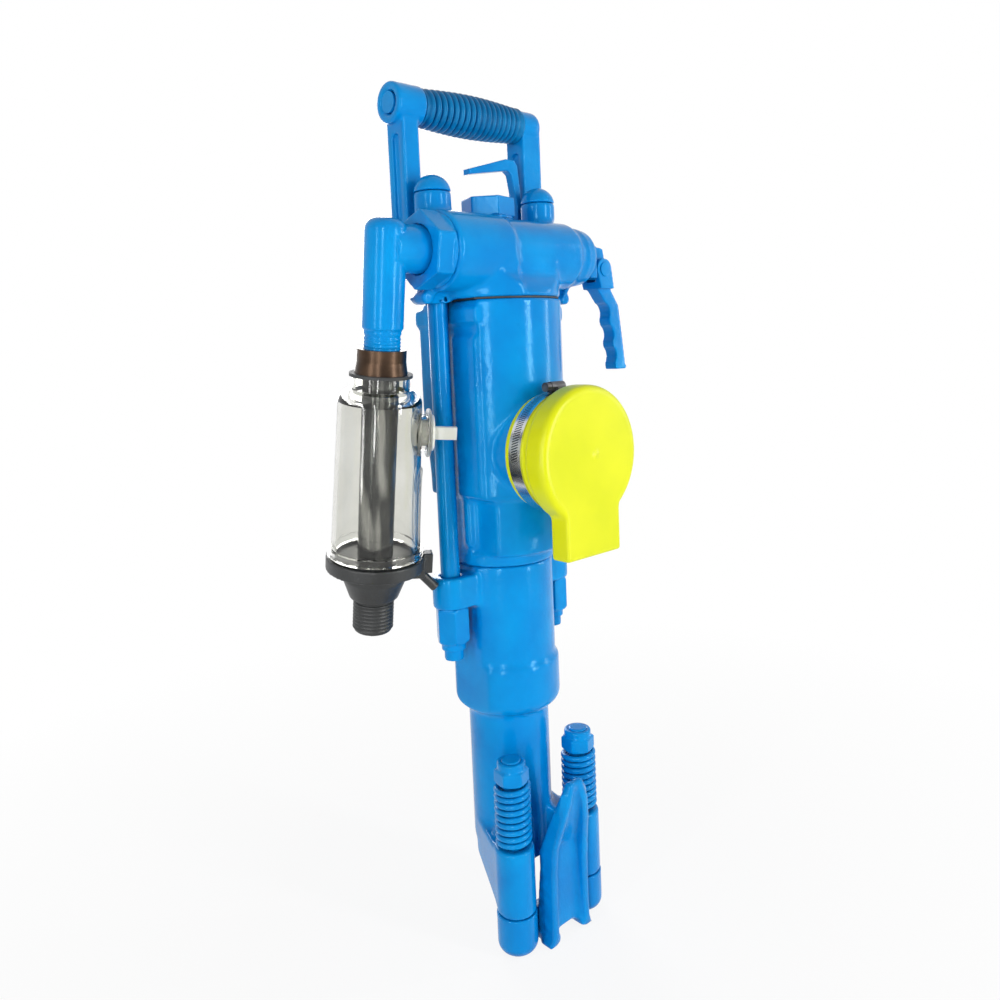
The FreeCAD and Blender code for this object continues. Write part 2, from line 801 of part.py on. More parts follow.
def make_piston():
    """Hammer piston at the bottom of its stroke, its long bore open for the rifle bar."""
    low = bore_low + size.running_gap
    high = low + size.piston_head_length
    radius = size.bore_radius - size.piston_play
    stem_low = stem_end()
    chamfer = size.piston_chamfer
    stem = size.piston_stem_radius
    body = turned("piston_body", [
        (0, stem_low),
        (stem - chamfer, stem_low),
        (stem, stem_low + chamfer),
        (stem, low),
        (radius - chamfer, low),
        (radius, low + chamfer),
        (radius, high - chamfer),
        (radius - chamfer, high),
        (0, high),
    ])
    bar_low = rifle_low()
    way = rod("rifle_way", size.rifle_radius + size.piston_play + size.rifle_play,
              high - bar_low + size.stroke + size.overrun * 2,
              (0, 0, bar_low - size.stroke - size.overrun))
    nut_seat = rod("nut_seat", size.nut_outer_radius + size.seat_gap, size.nut_length + size.overrun,
                   (0, 0, high - size.nut_length))
    tube_way = rod("tube_way", size.tube_radius + size.tube_play, low - stem_low + size.overrun * 2,
                   (0, 0, stem_low - size.overrun))
    play = size.running_gap
    flutes = quarter_set("stem_flute", (stem - size.spline_depth, -size.spline_width / 2 - play,
                                        stem_low - size.overrun),
                         (stem + size.overrun, size.spline_width / 2 + play, chuck_high() + size.overrun * 2))
    node("piston", carved("piston", body, way, nut_seat, tube_way, *flutes))
    nut = rod("nut_round", size.nut_outer_radius, size.nut_length, (0, 0, high - size.nut_length))
    thread = held("nut_flutes", fluted_bar(
        size.rifle_radius.value + size.rifle_play.value, size.rifle_root_radius.value + size.rifle_play.value,
        high.value - size.nut_length.value - size.overrun.value, high.value + size.overrun.value))
    node("rifle_nut", carved("rifle_nut", nut, thread))
    guide = turned("piston_guide", [
        (stem + size.running_gap, head_top),
        (size.bore_radius - size.seat_gap, head_top),
        (size.bore_radius - size.seat_gap, bore_low),
        (stem + size.running_gap, bore_low),
    ])
    node("piston_guide", guide)


def stem_end():
    """Lower end of the piston's stem, just clear of the hexagon bush."""
    return size.mouth_length + size.running_gap + size.chuck_bush_length + size.strike_gap


def chuck_high():
    return size.mouth_length + size.running_gap + size.chuck_length


def rifle_high():
    """Underside of the rifle bar's head, on the valve cover."""
    return cover_top + size.running_gap


def rifle_low():
    return rifle_high() - size.rifle_length


def fluted_wire(crest, root, level):
    """One cross-section of the fluted bar, turned as the lead asks at this level."""
    flutes = int(size.rifle_flutes.value)
    turn = math.tau * (level - rifle_high().value) / size.rifle_lead.value
    corners = []
    for i in range(flutes * 4):
        radius = crest if i % 4 in (0, 1) else root
        angle = turn + math.tau * i / (flutes * 4)
        corners.append(Vector(radius * math.cos(angle), radius * math.sin(angle), level))
    return Part.makePolygon(corners + corners[:1])


def fluted_bar(crest, root, low, high):
    levels = [low + (high - low) * i / 8 for i in range(9)]
    return Part.makeLoft([fluted_wire(crest, root, level) for level in levels], True, True)


def make_rifle_bar():
    """Fluted bar hung from its pawl head, which turns inside the ratchet ring."""
    low, high = rifle_low(), rifle_high()
    bar = held("bar_flutes", fluted_bar(size.rifle_radius.value, size.rifle_root_radius.value,
                                        low.value, high.value + size.overrun.value))
    head = rod("pawl_head", size.rifle_head_radius, size.rifle_head_height, (0, 0, high))
    way = rod("bar_tube_way", size.tube_radius + size.tube_play,
              size.rifle_length + size.rifle_head_height + size.overrun * 2, (0, 0, low - size.overrun))
    inner = size.rifle_head_radius - size.pawl_length / 2
    seat_low = high + (size.rifle_head_height - size.pawl_height) / 2
    half = size.pawl_width / 2
    outer = inner + size.pawl_length * 0.75
    gap = size.seat_gap
    pawls = quarter_set("pawl", (inner, -half, seat_low), (outer, half, seat_low + size.pawl_height))
    seats = quarter_set("pawl_seat", (inner - gap, -half - gap, seat_low - gap),
                        (outer, half + gap, seat_low + size.pawl_height + gap))
    node("rifle_bar", carved("rifle_bar", joined("bar_and_head", bar, head), way, *seats))
    node("pawls", grouped("pawls", *pawls))


def make_valve_gear():
    """Chest, ring valve, cover and ratchet ring, stacked in the counterbore."""
    bar_way = size.rifle_radius + size.running_gap * 2
    outer = size.stack_radius
    recess_low = chest_top - size.chest_recess
    gap = size.running_gap
    chest = turned("valve_chest", [
        (bar_way, bore_high),
        (outer, bore_high),
        (outer, chest_top),
        (size.valve_outer + gap, chest_top),
        (size.valve_outer + gap, recess_low),
        (size.valve_inner - gap, recess_low),
        (size.valve_inner - gap, chest_top),
        (bar_way, chest_top),
    ])
    node("valve_chest", chest)
    valve = turned("valve_ring", [
        (size.valve_inner, recess_low + gap),
        (size.valve_outer, recess_low + gap),
        (size.valve_outer, recess_low + gap + size.valve_height),
        (size.valve_inner, recess_low + gap + size.valve_height),
    ])
    node("valve_ring", valve)
    cover = turned("valve_cover", [
        (bar_way, chest_top),
        (outer, chest_top),
        (outer, cover_top),
        (bar_way, cover_top),
    ])
    node("valve_cover", cover)
    body = rod("ratchet_body", outer, back_head_low - cover_top, (0, 0, cover_top))
    teeth = int(size.ratchet_teeth.value)
    corners = []
    for i in range(teeth):
        for share, radius in ((0, size.ratchet_crest_radius), (1, size.ratchet_tooth_radius)):
            angle = math.tau * (i + share * 0.12) / teeth
            corners.append(Vector(radius.value * math.cos(angle), radius.value * math.sin(angle), 0))
    face = Part.Face(Part.makePolygon(corners + corners[:1]))
    height = size.rifle_head_height + gap * 2
    teeth_hole = held("ratchet_hole", face.extrude(Vector(0, 0, height.value)))
    place(teeth_hole, (0, 0, cover_top))
    air_hole = rod("ratchet_air_hole", size.rifle_radius, back_head_low - cover_top + size.overrun * 2,
                   (0, 0, cover_top - size.overrun))
    node("ratchet_ring", carved("ratchet_ring", body, teeth_hole, air_hole))


def make_back_head():
    """Throttle barrel, neck, bolt columns, plug boss and rear ridge in one casting."""
    low = back_head_low
    level = size.throttle_level
    half = size.neck_half_width
    neck = shared("neck", rod("neck_round", size.neck_radius, size.neck_height, (0, 0, low)),
                  brick("neck_width", (-half, -size.neck_radius, low), (half, size.neck_radius, low + size.neck_height)))
    left = rod("barrel_left", size.throttle_left_radius, size.throttle_left_end - size.throttle_step,
               (-size.throttle_left_end, axis_front, level), "X")
    right = rod("barrel_right", size.throttle_right_radius, size.throttle_step + size.throttle_right_end,
                (-size.throttle_step, axis_front, level), "X")
    boss_radius, boss_round = size.end_boss_radius, size.end_boss_round
    end_boss = turned("end_boss", [
        (0, 0),
        (boss_radius, 0),
        (boss_radius, size.end_boss_length - boss_round),
        (boss_radius - boss_round, size.end_boss_length, boss_round, "left"),
        (0, size.end_boss_length),
    ], (size.throttle_right_end, axis_front, level), "X")
    spigot = rod("spigot", size.spigot_radius, size.spigot_end - size.throttle_left_end + size.overrun,
                 (-size.spigot_end, axis_front, level), "X")
    columns = rod_pair("column", size.rod_head_radius, low + size.rod_groove_height, size.column_top)
    plug_boss = rod("plug_boss", size.plug_boss_radius, size.plug_boss_top - low - size.neck_height / 2,
                    (0, 0, low + size.neck_height / 2))
    ridge = brick("ridge", (-size.ridge_left, size.ridge_front, size.ridge_low),
                  (size.ridge_right, size.ridge_back, size.ridge_top))
    lobe_top = low + size.rod_groove_height
    inner, outer = size.lobe_inner, size.lobe_reach
    corner = size.ring_boss_out
    lobe = slab("lobe", "XZ_Plane", [
        (inner, lobe_top + size.overrun),
        (inner, size.lobe_low),
        (corner, size.lobe_low),
        (outer, size.ring_boss_level),
        (size.throttle_left_end, size.ring_boss_level + size.ring_boss_radius),
        (size.throttle_left_end, lobe_top + size.overrun),
    ], -size.lobe_front, size.lobe_back)
    ring = rod("ring_boss", size.ring_boss_radius, size.lobe_front + size.ring_boss_height,
               (corner, -size.lobe_front - size.ring_boss_height, size.ring_boss_level), "Y")
    ear = joined("lobe_and_ring", lobe, ring)
    lug = brick("trigger_lug", (size.trigger_pivot_out - size.trigger_lug_width / 2,
                                size.trigger_back + size.trigger_half_thickness + size.running_gap,
                                size.ridge_top - size.overrun),
                (size.trigger_pivot_out + size.trigger_lug_width / 2, size.ridge_back,
                 size.ridge_top + size.trigger_lug_height))
    barrels = joined("barrels", neck, left, right, end_boss, spigot)
    uprights = joined("barrels_and_columns", barrels, *columns, plug_boss)
    casting = joined("back_casting", uprights, joined("ridge_and_lug", ridge, lug), ear,
                     mirrored("other_ear", ear), refine=False)
    groove_radius = size.rod_radius + size.rod_groove_gap
    grooves = rod_pair("rod_groove", groove_radius, low - size.overrun - size.rod_groove_gap, lobe_top)
    rods = rod_pair("back_rod_hole", size.rod_radius + size.seat_gap, low, size.column_top + size.overrun)
    ring_hole = rod("ring_hole", size.ring_boss_hole, size.lobe_front + size.ring_boss_height + size.overrun,
                    (corner, -size.lobe_front - size.ring_boss_height - size.overrun, size.ring_boss_level), "Y")
    valve_bore = rod("valve_bore", size.valve_radius + size.running_gap,
                     size.valve_left_end + size.throttle_right_end + size.end_boss_length + size.overrun * 2,
                     (-size.valve_left_end - size.overrun, axis_front, level), "X")
    inlet_bore = rod("inlet_bore", size.spigot_hole_radius, size.spigot_end + size.overrun,
                     (-size.spigot_end - size.overrun, axis_front, level), "X")
    chamber = rod("head_chamber", size.ratchet_crest_radius, size.rod_groove_height / 2 + size.overrun,
                  (0, 0, low - size.overrun))
    down = rod("down_way", size.valve_port_radius, level - low, (0, axis_front, low))
    plug_hole = rod("plug_hole", size.plug_shank_radius + size.seat_gap, size.plug_shank_length + size.overrun,
                    (0, 0, size.plug_boss_top - size.plug_shank_length))
    tube_hole = rod("tube_hole", size.tube_radius + size.seat_gap, size.plug_boss_top - low, (0, 0, low))
    pin_hole = rod("trigger_pin_hole", size.trigger_pin_radius + size.seat_gap,
                   size.ridge_back, (size.trigger_pivot_out, size.trigger_back, size.trigger_pivot_level), "Y")
    node("back_head", carved("back_head", casting, *grooves, *rods, ring_hole,
                             mirrored("other_ring_hole", ring_hole), valve_bore, inlet_bore, chamber, down,
                             plug_hole, tube_hole, pin_hole, refine=False))


def make_plug():
    """Hexagon plug on the axis, its washer, and the blow tube that hangs from it."""
    seat = size.plug_boss_top
    washer_round = rod("washer_round", size.plug_flats / 2 + size.overrun, size.plug_washer, (0, 0, seat))
    washer_hole = rod("washer_hole", size.plug_shank_radius + size.seat_gap,
                      size.plug_washer + size.overrun * 2, (0, 0, seat - size.overrun))
    node("plug_washer", carved("plug_washer", washer_round, washer_hole))
    head = hexagon("plug_head", size.plug_flats, size.plug_head_height, (0, 0, seat + size.plug_washer), turn=12)
    shank = rod("plug_shank", size.plug_shank_radius, size.plug_shank_length + size.plug_washer + size.overrun,
                (0, 0, seat - size.plug_shank_length))
    socket = rod("tube_socket", size.tube_radius + size.seat_gap, size.plug_shank_length / 2 + size.overrun,
                 (0, 0, seat - size.plug_shank_length - size.overrun))
    node("rear_plug", carved("rear_plug", joined("plug_body", head, shank), socket))
    top = seat - size.plug_shank_length / 2
    low = stem_end() + size.piston_chamfer
    tube = turned("blow_tube", [
        (size.tube_radius - size.tube_wall, low),
        (size.tube_radius, low),
        (size.tube_radius, top),
        (size.tube_radius - size.tube_wall, top),
    ])
    node("blow_tube", tube)


def make_tie_bolts():
    """Domed bolts from the columns down through the ears, and their long nuts."""
    low = ear_low - size.nut_height - size.rod_stub
    radius, height = size.rod_head_radius, size.rod_head_height
    bolt = turned("tie_bolt", [
        (0, low),
        (size.rod_radius, low),
        (size.rod_radius, size.column_top),
        (radius, size.column_top),
        (radius, size.column_top + size.overrun),
        (0, size.column_top + height, (radius * radius + (height - size.overrun) * (height - size.overrun))
         / ((height - size.overrun) * 2), "left"),
    ], (size.rod_offset, 0, 0))
    node("tie_bolts", grouped("tie_bolts", bolt, mirrored("other_tie_bolt", bolt)))
    block = hexagon("tie_nut_block", size.nut_flats, size.nut_height, (size.rod_offset, 0, ear_low - size.nut_height))
    hole = rod("tie_nut_hole", size.rod_radius + size.seat_gap, size.nut_height + size.overrun * 2,
               (size.rod_offset, 0, ear_low - size.nut_height - size.overrun))
    nut = carved("tie_nut", block, hole)
    node("tie_bolt_nuts", grouped("tie_bolt_nuts", nut, mirrored("other_tie_nut", nut)))


def make_throttle():
    """Plug valve in the barrel, its end block and tongue, and the hinged lever on a pin."""
    level = size.throttle_level
    pin_out, pin_level = size.lever_pin_out, size.lever_pin_level
    valve = rod("valve_rod", size.valve_radius, size.block_start + size.valve_left_end + size.overrun,
                (-size.valve_left_end, axis_front, level), "X")
    half, eye = size.block_half_thickness, size.lever_eye_radius
    block = brick("valve_block", (size.block_start, axis_front - half, size.block_low),
                  (size.block_neck - size.running_gap, axis_front + half, size.block_top))
    tongue_half = size.tongue_half_thickness
    tongue = slab("valve_tongue", "XZ_Plane", [
        (size.block_neck - size.overrun, size.block_low),
        (pin_out, pin_level - eye),
        (pin_out + eye, pin_level, eye, "left"),
        (pin_out + eye / 2, size.block_top - size.overrun),
        (pin_out, size.block_top),
        (size.block_neck - size.overrun, size.block_top),
    ], axis_front - tongue_half, axis_front + tongue_half)
    inner = rod("valve_inner", size.valve_port_radius, size.throttle_right_end + size.valve_left_end,
                (-size.valve_left_end - size.overrun, axis_front, level), "X")
    port = rod("valve_port", size.valve_port_radius, size.valve_radius + size.overrun,
               (0, axis_front, level - size.valve_radius - size.overrun))
    pin_hole = rod("tongue_hole", size.lever_pin_radius + size.running_gap, half * 2 + size.overrun * 2,
                   (pin_out, axis_front - half - size.overrun, pin_level), "Y")
    node("throttle_valve", carved("throttle_valve", joined("valve_body", valve, block, tongue), inner, port,
                                  pin_hole))
    make_lever()
    pin = rod("pin_shank", size.lever_pin_radius, half * 2 + size.lever_pin_proud * 2,
              (pin_out, axis_front - half - size.lever_pin_proud, pin_level), "Y")
    head = rod("pin_head", size.lever_pin_head, size.lever_pin_proud,
               (pin_out, axis_front - half - size.lever_pin_proud, pin_level), "Y")
    tail = rod("pin_tail", size.lever_pin_head, size.lever_pin_proud, (pin_out, axis_front + half, pin_level), "Y")
    node("lever_pin", joined("lever_pin", pin, head, tail))


def make_lever():
    """Curved lever with finger scallops, forked at the top round the valve's tongue."""
    pin_out, pin_level = size.lever_pin_out, size.lever_pin_level
    half, eye = size.block_half_thickness, size.lever_eye_radius
    thin = size.lever_half_thickness
    handle = slab("lever_handle", "XZ_Plane", [
        (pin_out - eye, pin_level),
        (size.lever_root_inner, size.lever_root_level),
        (size.lever_knee_inner, size.lever_knee_level),
        (size.lever_mid_inner, size.lever_mid_level),
        (size.lever_tip_inner, size.lever_tip_level),
        (size.lever_tip_outer, size.lever_tip_level),
        (size.lever_tip_outer + size.lever_lip, size.lever_tip_level + size.lever_lip),
        (size.lever_tip_outer, size.lever_tip_level + size.lever_lip * 2),
        (size.lever_mid_outer, size.lever_mid_level),
        (size.lever_knee_outer, size.lever_knee_level),
        (size.lever_root_outer, size.lever_root_level),
        (pin_out + eye, pin_level),
    ], axis_front - thin, axis_front + thin)
    cheeks = slab("lever_cheeks", "XZ_Plane", [
        (pin_out, pin_level - eye, eye, "left"),
        (pin_out + eye, pin_level, eye, "left"),
        (pin_out, pin_level + eye, eye, "left"),
        (pin_out - eye, pin_level, eye, "left"),
    ], axis_front - half, axis_front + half)
    web = slab("lever_web", "XZ_Plane", [
        (pin_out - eye, pin_level),
        (size.lever_root_inner, size.lever_root_level),
        (size.lever_root_outer, size.lever_root_level),
        (pin_out + eye, pin_level),
    ], axis_front - half, axis_front + half)
    gap = size.running_gap
    slot_half = size.tongue_half_thickness + gap
    reach = eye + gap * 2
    slot = brick("lever_slot", (pin_out - eye * 2, axis_front - slot_half, pin_level - reach),
                 (pin_out + eye * 2, axis_front + slot_half, pin_level + eye * 2))
    hole = rod("lever_hole", size.lever_pin_radius + size.seat_gap, half * 2 + size.overrun * 2,
               (pin_out, axis_front - half - size.overrun, pin_level), "Y")
    scallops = []
    count = int(size.lever_scallops.value)
    span = size.lever_knee_level - size.lever_tip_level
    lean = size.lever_tip_inner - size.lever_knee_inner
    for i in range(count):
        share = (i + 0.35) / count
        bulge = 0.9 * share * (1 - share)
        scallops.append(rod(f"scallop_{i}", size.lever_scallop_radius, thin * 2 + size.overrun * 2,
                            (size.lever_knee_inner + lean * (share + bulge) - size.lever_scallop_radius
                             + size.lever_scallop_depth, axis_front - thin - size.overrun,
                             size.lever_knee_level - span * share), "Y"))
    node("throttle_lever", carved("throttle_lever", joined("lever_body", handle, cheeks, web), slot, hole,
                                  *scallops))


def make_grip():
    """Arms, through rod and ribbed sleeve of the hand grip."""
    back, level = size.grip_back, size.grip_level
    depth = size.arm_half_depth
    sides = (
        ("left", size.boss_left_inner, size.boss_left_end, size.arm_left_inner, size.arm_left_thickness,
         size.boss_left_radius, size.boss_left_round),
        ("right", size.boss_right_inner, size.boss_right_end, size.arm_right_inner, size.arm_right_thickness,
         size.boss_right_radius, size.boss_right_round))
    for side, boss_in, end, bar_in, thickness, radius, edge in sides:
        boss = turned(f"{side}_boss", [
            (0, 0),
            (radius, 0),
            (radius, end - boss_in - edge),
            (radius - edge, end - boss_in, edge, "left"),
            (0, end - boss_in),
        ], (boss_in, back, level), "X")
        bar_out = bar_in + thickness
        bar = brick(f"{side}_bar", (bar_in, back - depth, size.ridge_top), (bar_out, back + depth, level))
        through = rod(f"{side}_rod_hole", size.grip_rod_radius + size.seat_gap, end,
                      (boss_in - size.overrun, back, level), "X")
        ring = rod(f"{side}_ring", size.boss_ring_radius, size.boss_ring_depth + size.overrun,
                   (end - size.boss_ring_depth, back, level), "X")
        tools = [through, ring]
        slot_half = size.arm_slot_width / 2
        for face, start in (("outer", bar_out - size.arm_slot_depth), ("inner", bar_in - size.overrun)):
            name = f"{side}_{face}_slot"
            length = size.arm_slot_depth + size.overrun
            mid = brick(name + "_mid", (start, back - slot_half, size.arm_slot_low),
                        (start + length, back + slot_half, size.arm_slot_high))
            ends = [rod(f"{name}_{tag}", slot_half, length, (start, back, z), "X")
                    for tag, z in (("low", size.arm_slot_low), ("high", size.arm_slot_high))]
            tools += [mid, *ends]
        arm = carved(f"{side}_arm_solid", joined(f"{side}_arm_cast", boss, bar), *tools)
        name = f"{side}_handle_arm"
        node(name, arm if side == "right" else mirrored(name, arm))
    total = size.boss_left_end + size.boss_right_end
    node("grip_rod", rod("grip_rod", size.grip_rod_radius, total, (-size.boss_left_end, back, level), "X"))
    make_sleeve(back, level)


def make_sleeve(back, level):
    """Barrel-shaped sleeve turned with ring grooves that follow its swell."""
    half = (size.boss_left_inner + size.boss_right_inner) / 2 - size.sleeve_gap
    centre = (size.boss_right_inner - size.boss_left_inner) / 2
    end, mid = size.sleeve_end_radius, size.sleeve_mid_radius
    inner = size.grip_rod_radius + size.seat_gap
    groove = size.sleeve_groove_radius
    usable = half - size.sleeve_groove_margin
    outline = [(inner, -half), (end - size.overrun, -half), (end, -half + size.overrun)]
    count = int(size.sleeve_grooves.value)
    for i in range(count):
        share = 2 * i / (count - 1) - 1
        radius = end + (mid - end) * (1 - share * share)
        spot = usable * share
        outline.append((radius, spot - groove * 0.85))
        outline.append((radius, spot + groove * 0.85, groove, "right"))
    outline += [(end, half - size.overrun), (end - size.overrun, half), (inner, half)]
    node("grip_sleeve", turned("grip_sleeve", outline, (centre, back, level), "X"))


def make_trigger():
    """Hooked finger lever that hinges on a pin in the rear ridge's lug."""
    out, level = size.trigger_pivot_out, size.trigger_pivot_level
    stem = size.trigger_stem_width
    top, finger = size.trigger_top_level, size.trigger_finger_height
    tip_low = size.trigger_tip_level - size.trigger_tip_height / 2
    hook = slab("trigger_hook", "XZ_Plane", [
        (size.trigger_tip_out, tip_low),
        (out - finger * 1.35, top - finger),
        (out - stem * 1.35, top - finger * 1.3),
        (out - stem / 2, top - finger * 4),
        (out - stem / 2, level),
        (out + stem / 2, level),
        (out + stem / 2, top - finger * 4),
        (out - stem * 0.15, top - finger / 2),
        (out - stem * 0.7, top),
        (out - finger * 1.5, top),
        (size.trigger_tip_out, tip_low + size.trigger_tip_height),
    ], size.trigger_back - size.trigger_half_thickness, size.trigger_back + size.trigger_half_thickness)
    hub = rod("trigger_hub", size.trigger_hub_radius, size.trigger_half_thickness * 2,
              (out, size.trigger_back - size.trigger_half_thickness, level), "Y")
    hole = rod("trigger_hole", size.trigger_pin_radius + size.seat_gap,
               size.trigger_half_thickness * 2 + size.overrun * 2,
               (out, size.trigger_back - size.trigger_half_thickness - size.overrun, level), "Y")
    node("trigger", carved("trigger", joined("trigger_body", hook, hub), hole))
    start = size.trigger_back - size.trigger_half_thickness - size.running_gap
    node("trigger_pin", rod("trigger_pin", size.trigger_pin_radius, size.ridge_back - start,
                            (out, start, level), "Y"))


def make_gland_nut():
    """Union nut that holds the elbow's collar against the spigot and lets it swivel."""
    level = size.throttle_level
    length = size.gland_end - size.gland_start
    block = hexagon("gland_block", size.gland_flats, length, (-size.gland_end, axis_front, level), "X", 10)
    washer = rod("gland_washer", size.gland_washer_radius, size.gland_start - size.throttle_left_end,
                 (-size.gland_start, axis_front, level), "X")
    thread = rod("gland_thread", size.spigot_radius + size.seat_gap, length - size.gland_lip + size.overrun * 4,
                 (-size.gland_end + size.gland_lip, axis_front, level), "X")
    lip = rod("gland_hole", size.stub_radius + size.running_gap, length + size.overrun * 2,
              (-size.gland_end - size.overrun, axis_front, level), "X")
    node("gland_nut", carved("gland_nut", joined("gland_body", block, washer), thread, lip))


def at_inlet(thing):
    """Put a piece that is drawn round the hanging pipe's own axis where the elbow swings it."""
    turn = Rotation(Vector(1, 0, 0), size.inlet_tilt.value)
    return place(thing, (-size.pipe_out, axis_front, size.throttle_level), turn)


def make_elbow():
    """Elbow with its swivel collar, hanging pipe and thread; drawn about the pipe's axis."""
    stub_end = size.spigot_end + size.inlet_seal_thickness
    reach = size.pipe_out - stub_end
    stub = rod("stub", size.stub_radius, reach, (0, 0, 0), "X")
    collar = rod("stub_collar", size.stub_collar_radius, size.stub_collar_length,
                 (reach - size.stub_collar_length, 0, 0), "X")
    top, smooth = size.pipe_top, size.pipe_smooth
    thread_low = smooth + size.thread_pitch * (size.thread_turns + 2)
    radius, edge = size.pipe_radius, size.pipe_round
    outline = [
        (0, -thread_low - size.thread_pitch * 3),
        (size.thread_radius - size.thread_depth, -thread_low - size.thread_pitch * 3),
        (size.thread_radius - size.thread_depth, -thread_low),
    ]
    for i in range(int(size.thread_turns.value)):
        foot = -thread_low + size.thread_pitch * i
        outline.append((size.thread_radius, foot + size.thread_pitch / 2))
        outline.append((size.thread_radius - size.thread_depth, foot + size.thread_pitch))
    outline += [
        (size.thread_radius, -smooth - size.thread_pitch),
        (size.thread_radius, -smooth),
        (radius, -smooth + size.overrun),
        (radius, top - edge),
        (radius - edge, top, edge, "left"),
        (0, top),
    ]
    pipe = turned("elbow_pipe", outline)
    bore = rod("pipe_bore", size.pipe_bore, thread_low + size.thread_pitch * 4, (0, 0, -thread_low - size.thread_pitch * 4))
    cross = rod("stub_bore", size.pipe_bore, reach + size.overrun, (0, 0, 0), "X")
    node("inlet_elbow", at_inlet(carved("inlet_elbow", joined("elbow_body", stub, collar, pipe), bore, cross)))
    strainer = turned("strainer", [
        (size.pipe_bore - size.strainer_wall - size.seat_gap, 0),
        (size.pipe_bore - size.seat_gap, 0),
        (size.pipe_bore - size.seat_gap, size.strainer_length),
        (0, size.strainer_length),
        (0, size.strainer_length - size.strainer_wall),
        (size.pipe_bore - size.strainer_wall - size.seat_gap, size.strainer_length - size.strainer_wall),
    ])
    strainer = grouped("inlet_strainer", place(strainer, (0, 0, -thread_low - size.thread_pitch * 2)))
    node("inlet_strainer", at_inlet(strainer))
    seal_round = rod("seal_round", size.stub_collar_radius, size.inlet_seal_thickness - size.running_gap,
                     (-stub_end + size.running_gap, axis_front, size.throttle_level), "X")
    seal_hole = rod("seal_hole", size.pipe_bore, size.inlet_seal_thickness + size.overrun * 2,
                    (-stub_end - size.overrun, axis_front, size.throttle_level), "X")
    node("inlet_seal", carved("inlet_seal", seal_round, seal_hole))


def cup_levels():
    """Heights of the lubricator's joints below the throttle barrel's axis."""
    ring_low = size.collar_ring_top + size.collar_ring_length
    cup_top = ring_low + size.upper_gasket_thickness
    cup_low = cup_top + size.cup_length
    return ring_low, cup_top, cup_low


def make_lubricator():
    """Collar, gasket, clear cup, centre tube, base with nipple, and the two side fittings."""
    ring_low, cup_top, cup_low = cup_levels()
    thread = size.thread_radius + size.seat_gap
    ring = turned("lubricator_collar", [
        (thread, -ring_low),
        (size.collar_ring_radius + size.collar_ring_step, -ring_low),
        (size.collar_ring_radius, -ring_low + size.collar_ring_length / 2),
        (size.collar_ring_radius, -size.collar_ring_top),
        (thread, -size.collar_ring_top),
    ])
    node("lubricator_collar", at_inlet(ring))
    gasket = turned("lubricator_gasket", [
        (size.oil_tube_radius, -cup_top),
        (size.upper_gasket_radius, -cup_top),
        (size.upper_gasket_radius, -ring_low),
        (size.oil_tube_radius, -ring_low),
    ])
    node("lubricator_gasket", at_inlet(gasket))
    make_cup(cup_top, cup_low)
    tube_low = cup_low + size.base_ring_thickness
    tube = turned("oil_tube", [
        (size.oil_tube_radius - size.oil_tube_wall, -tube_low),
        (size.oil_tube_radius - size.seat_gap, -tube_low),
        (size.oil_tube_radius - size.seat_gap, -ring_low),
        (size.oil_tube_radius - size.oil_tube_wall, -ring_low),
    ])
    node("oil_tube", at_inlet(tube))
    seal = turned("base_seal", [
        (size.cup_bottom_radius - size.cup_wall, -tube_low),
        (size.cup_bottom_radius, -tube_low),
        (size.cup_bottom_radius, -cup_low),
        (size.cup_bottom_radius - size.cup_wall, -cup_low),
    ])
    node("base_seal", at_inlet(seal))
    make_base(tube_low)


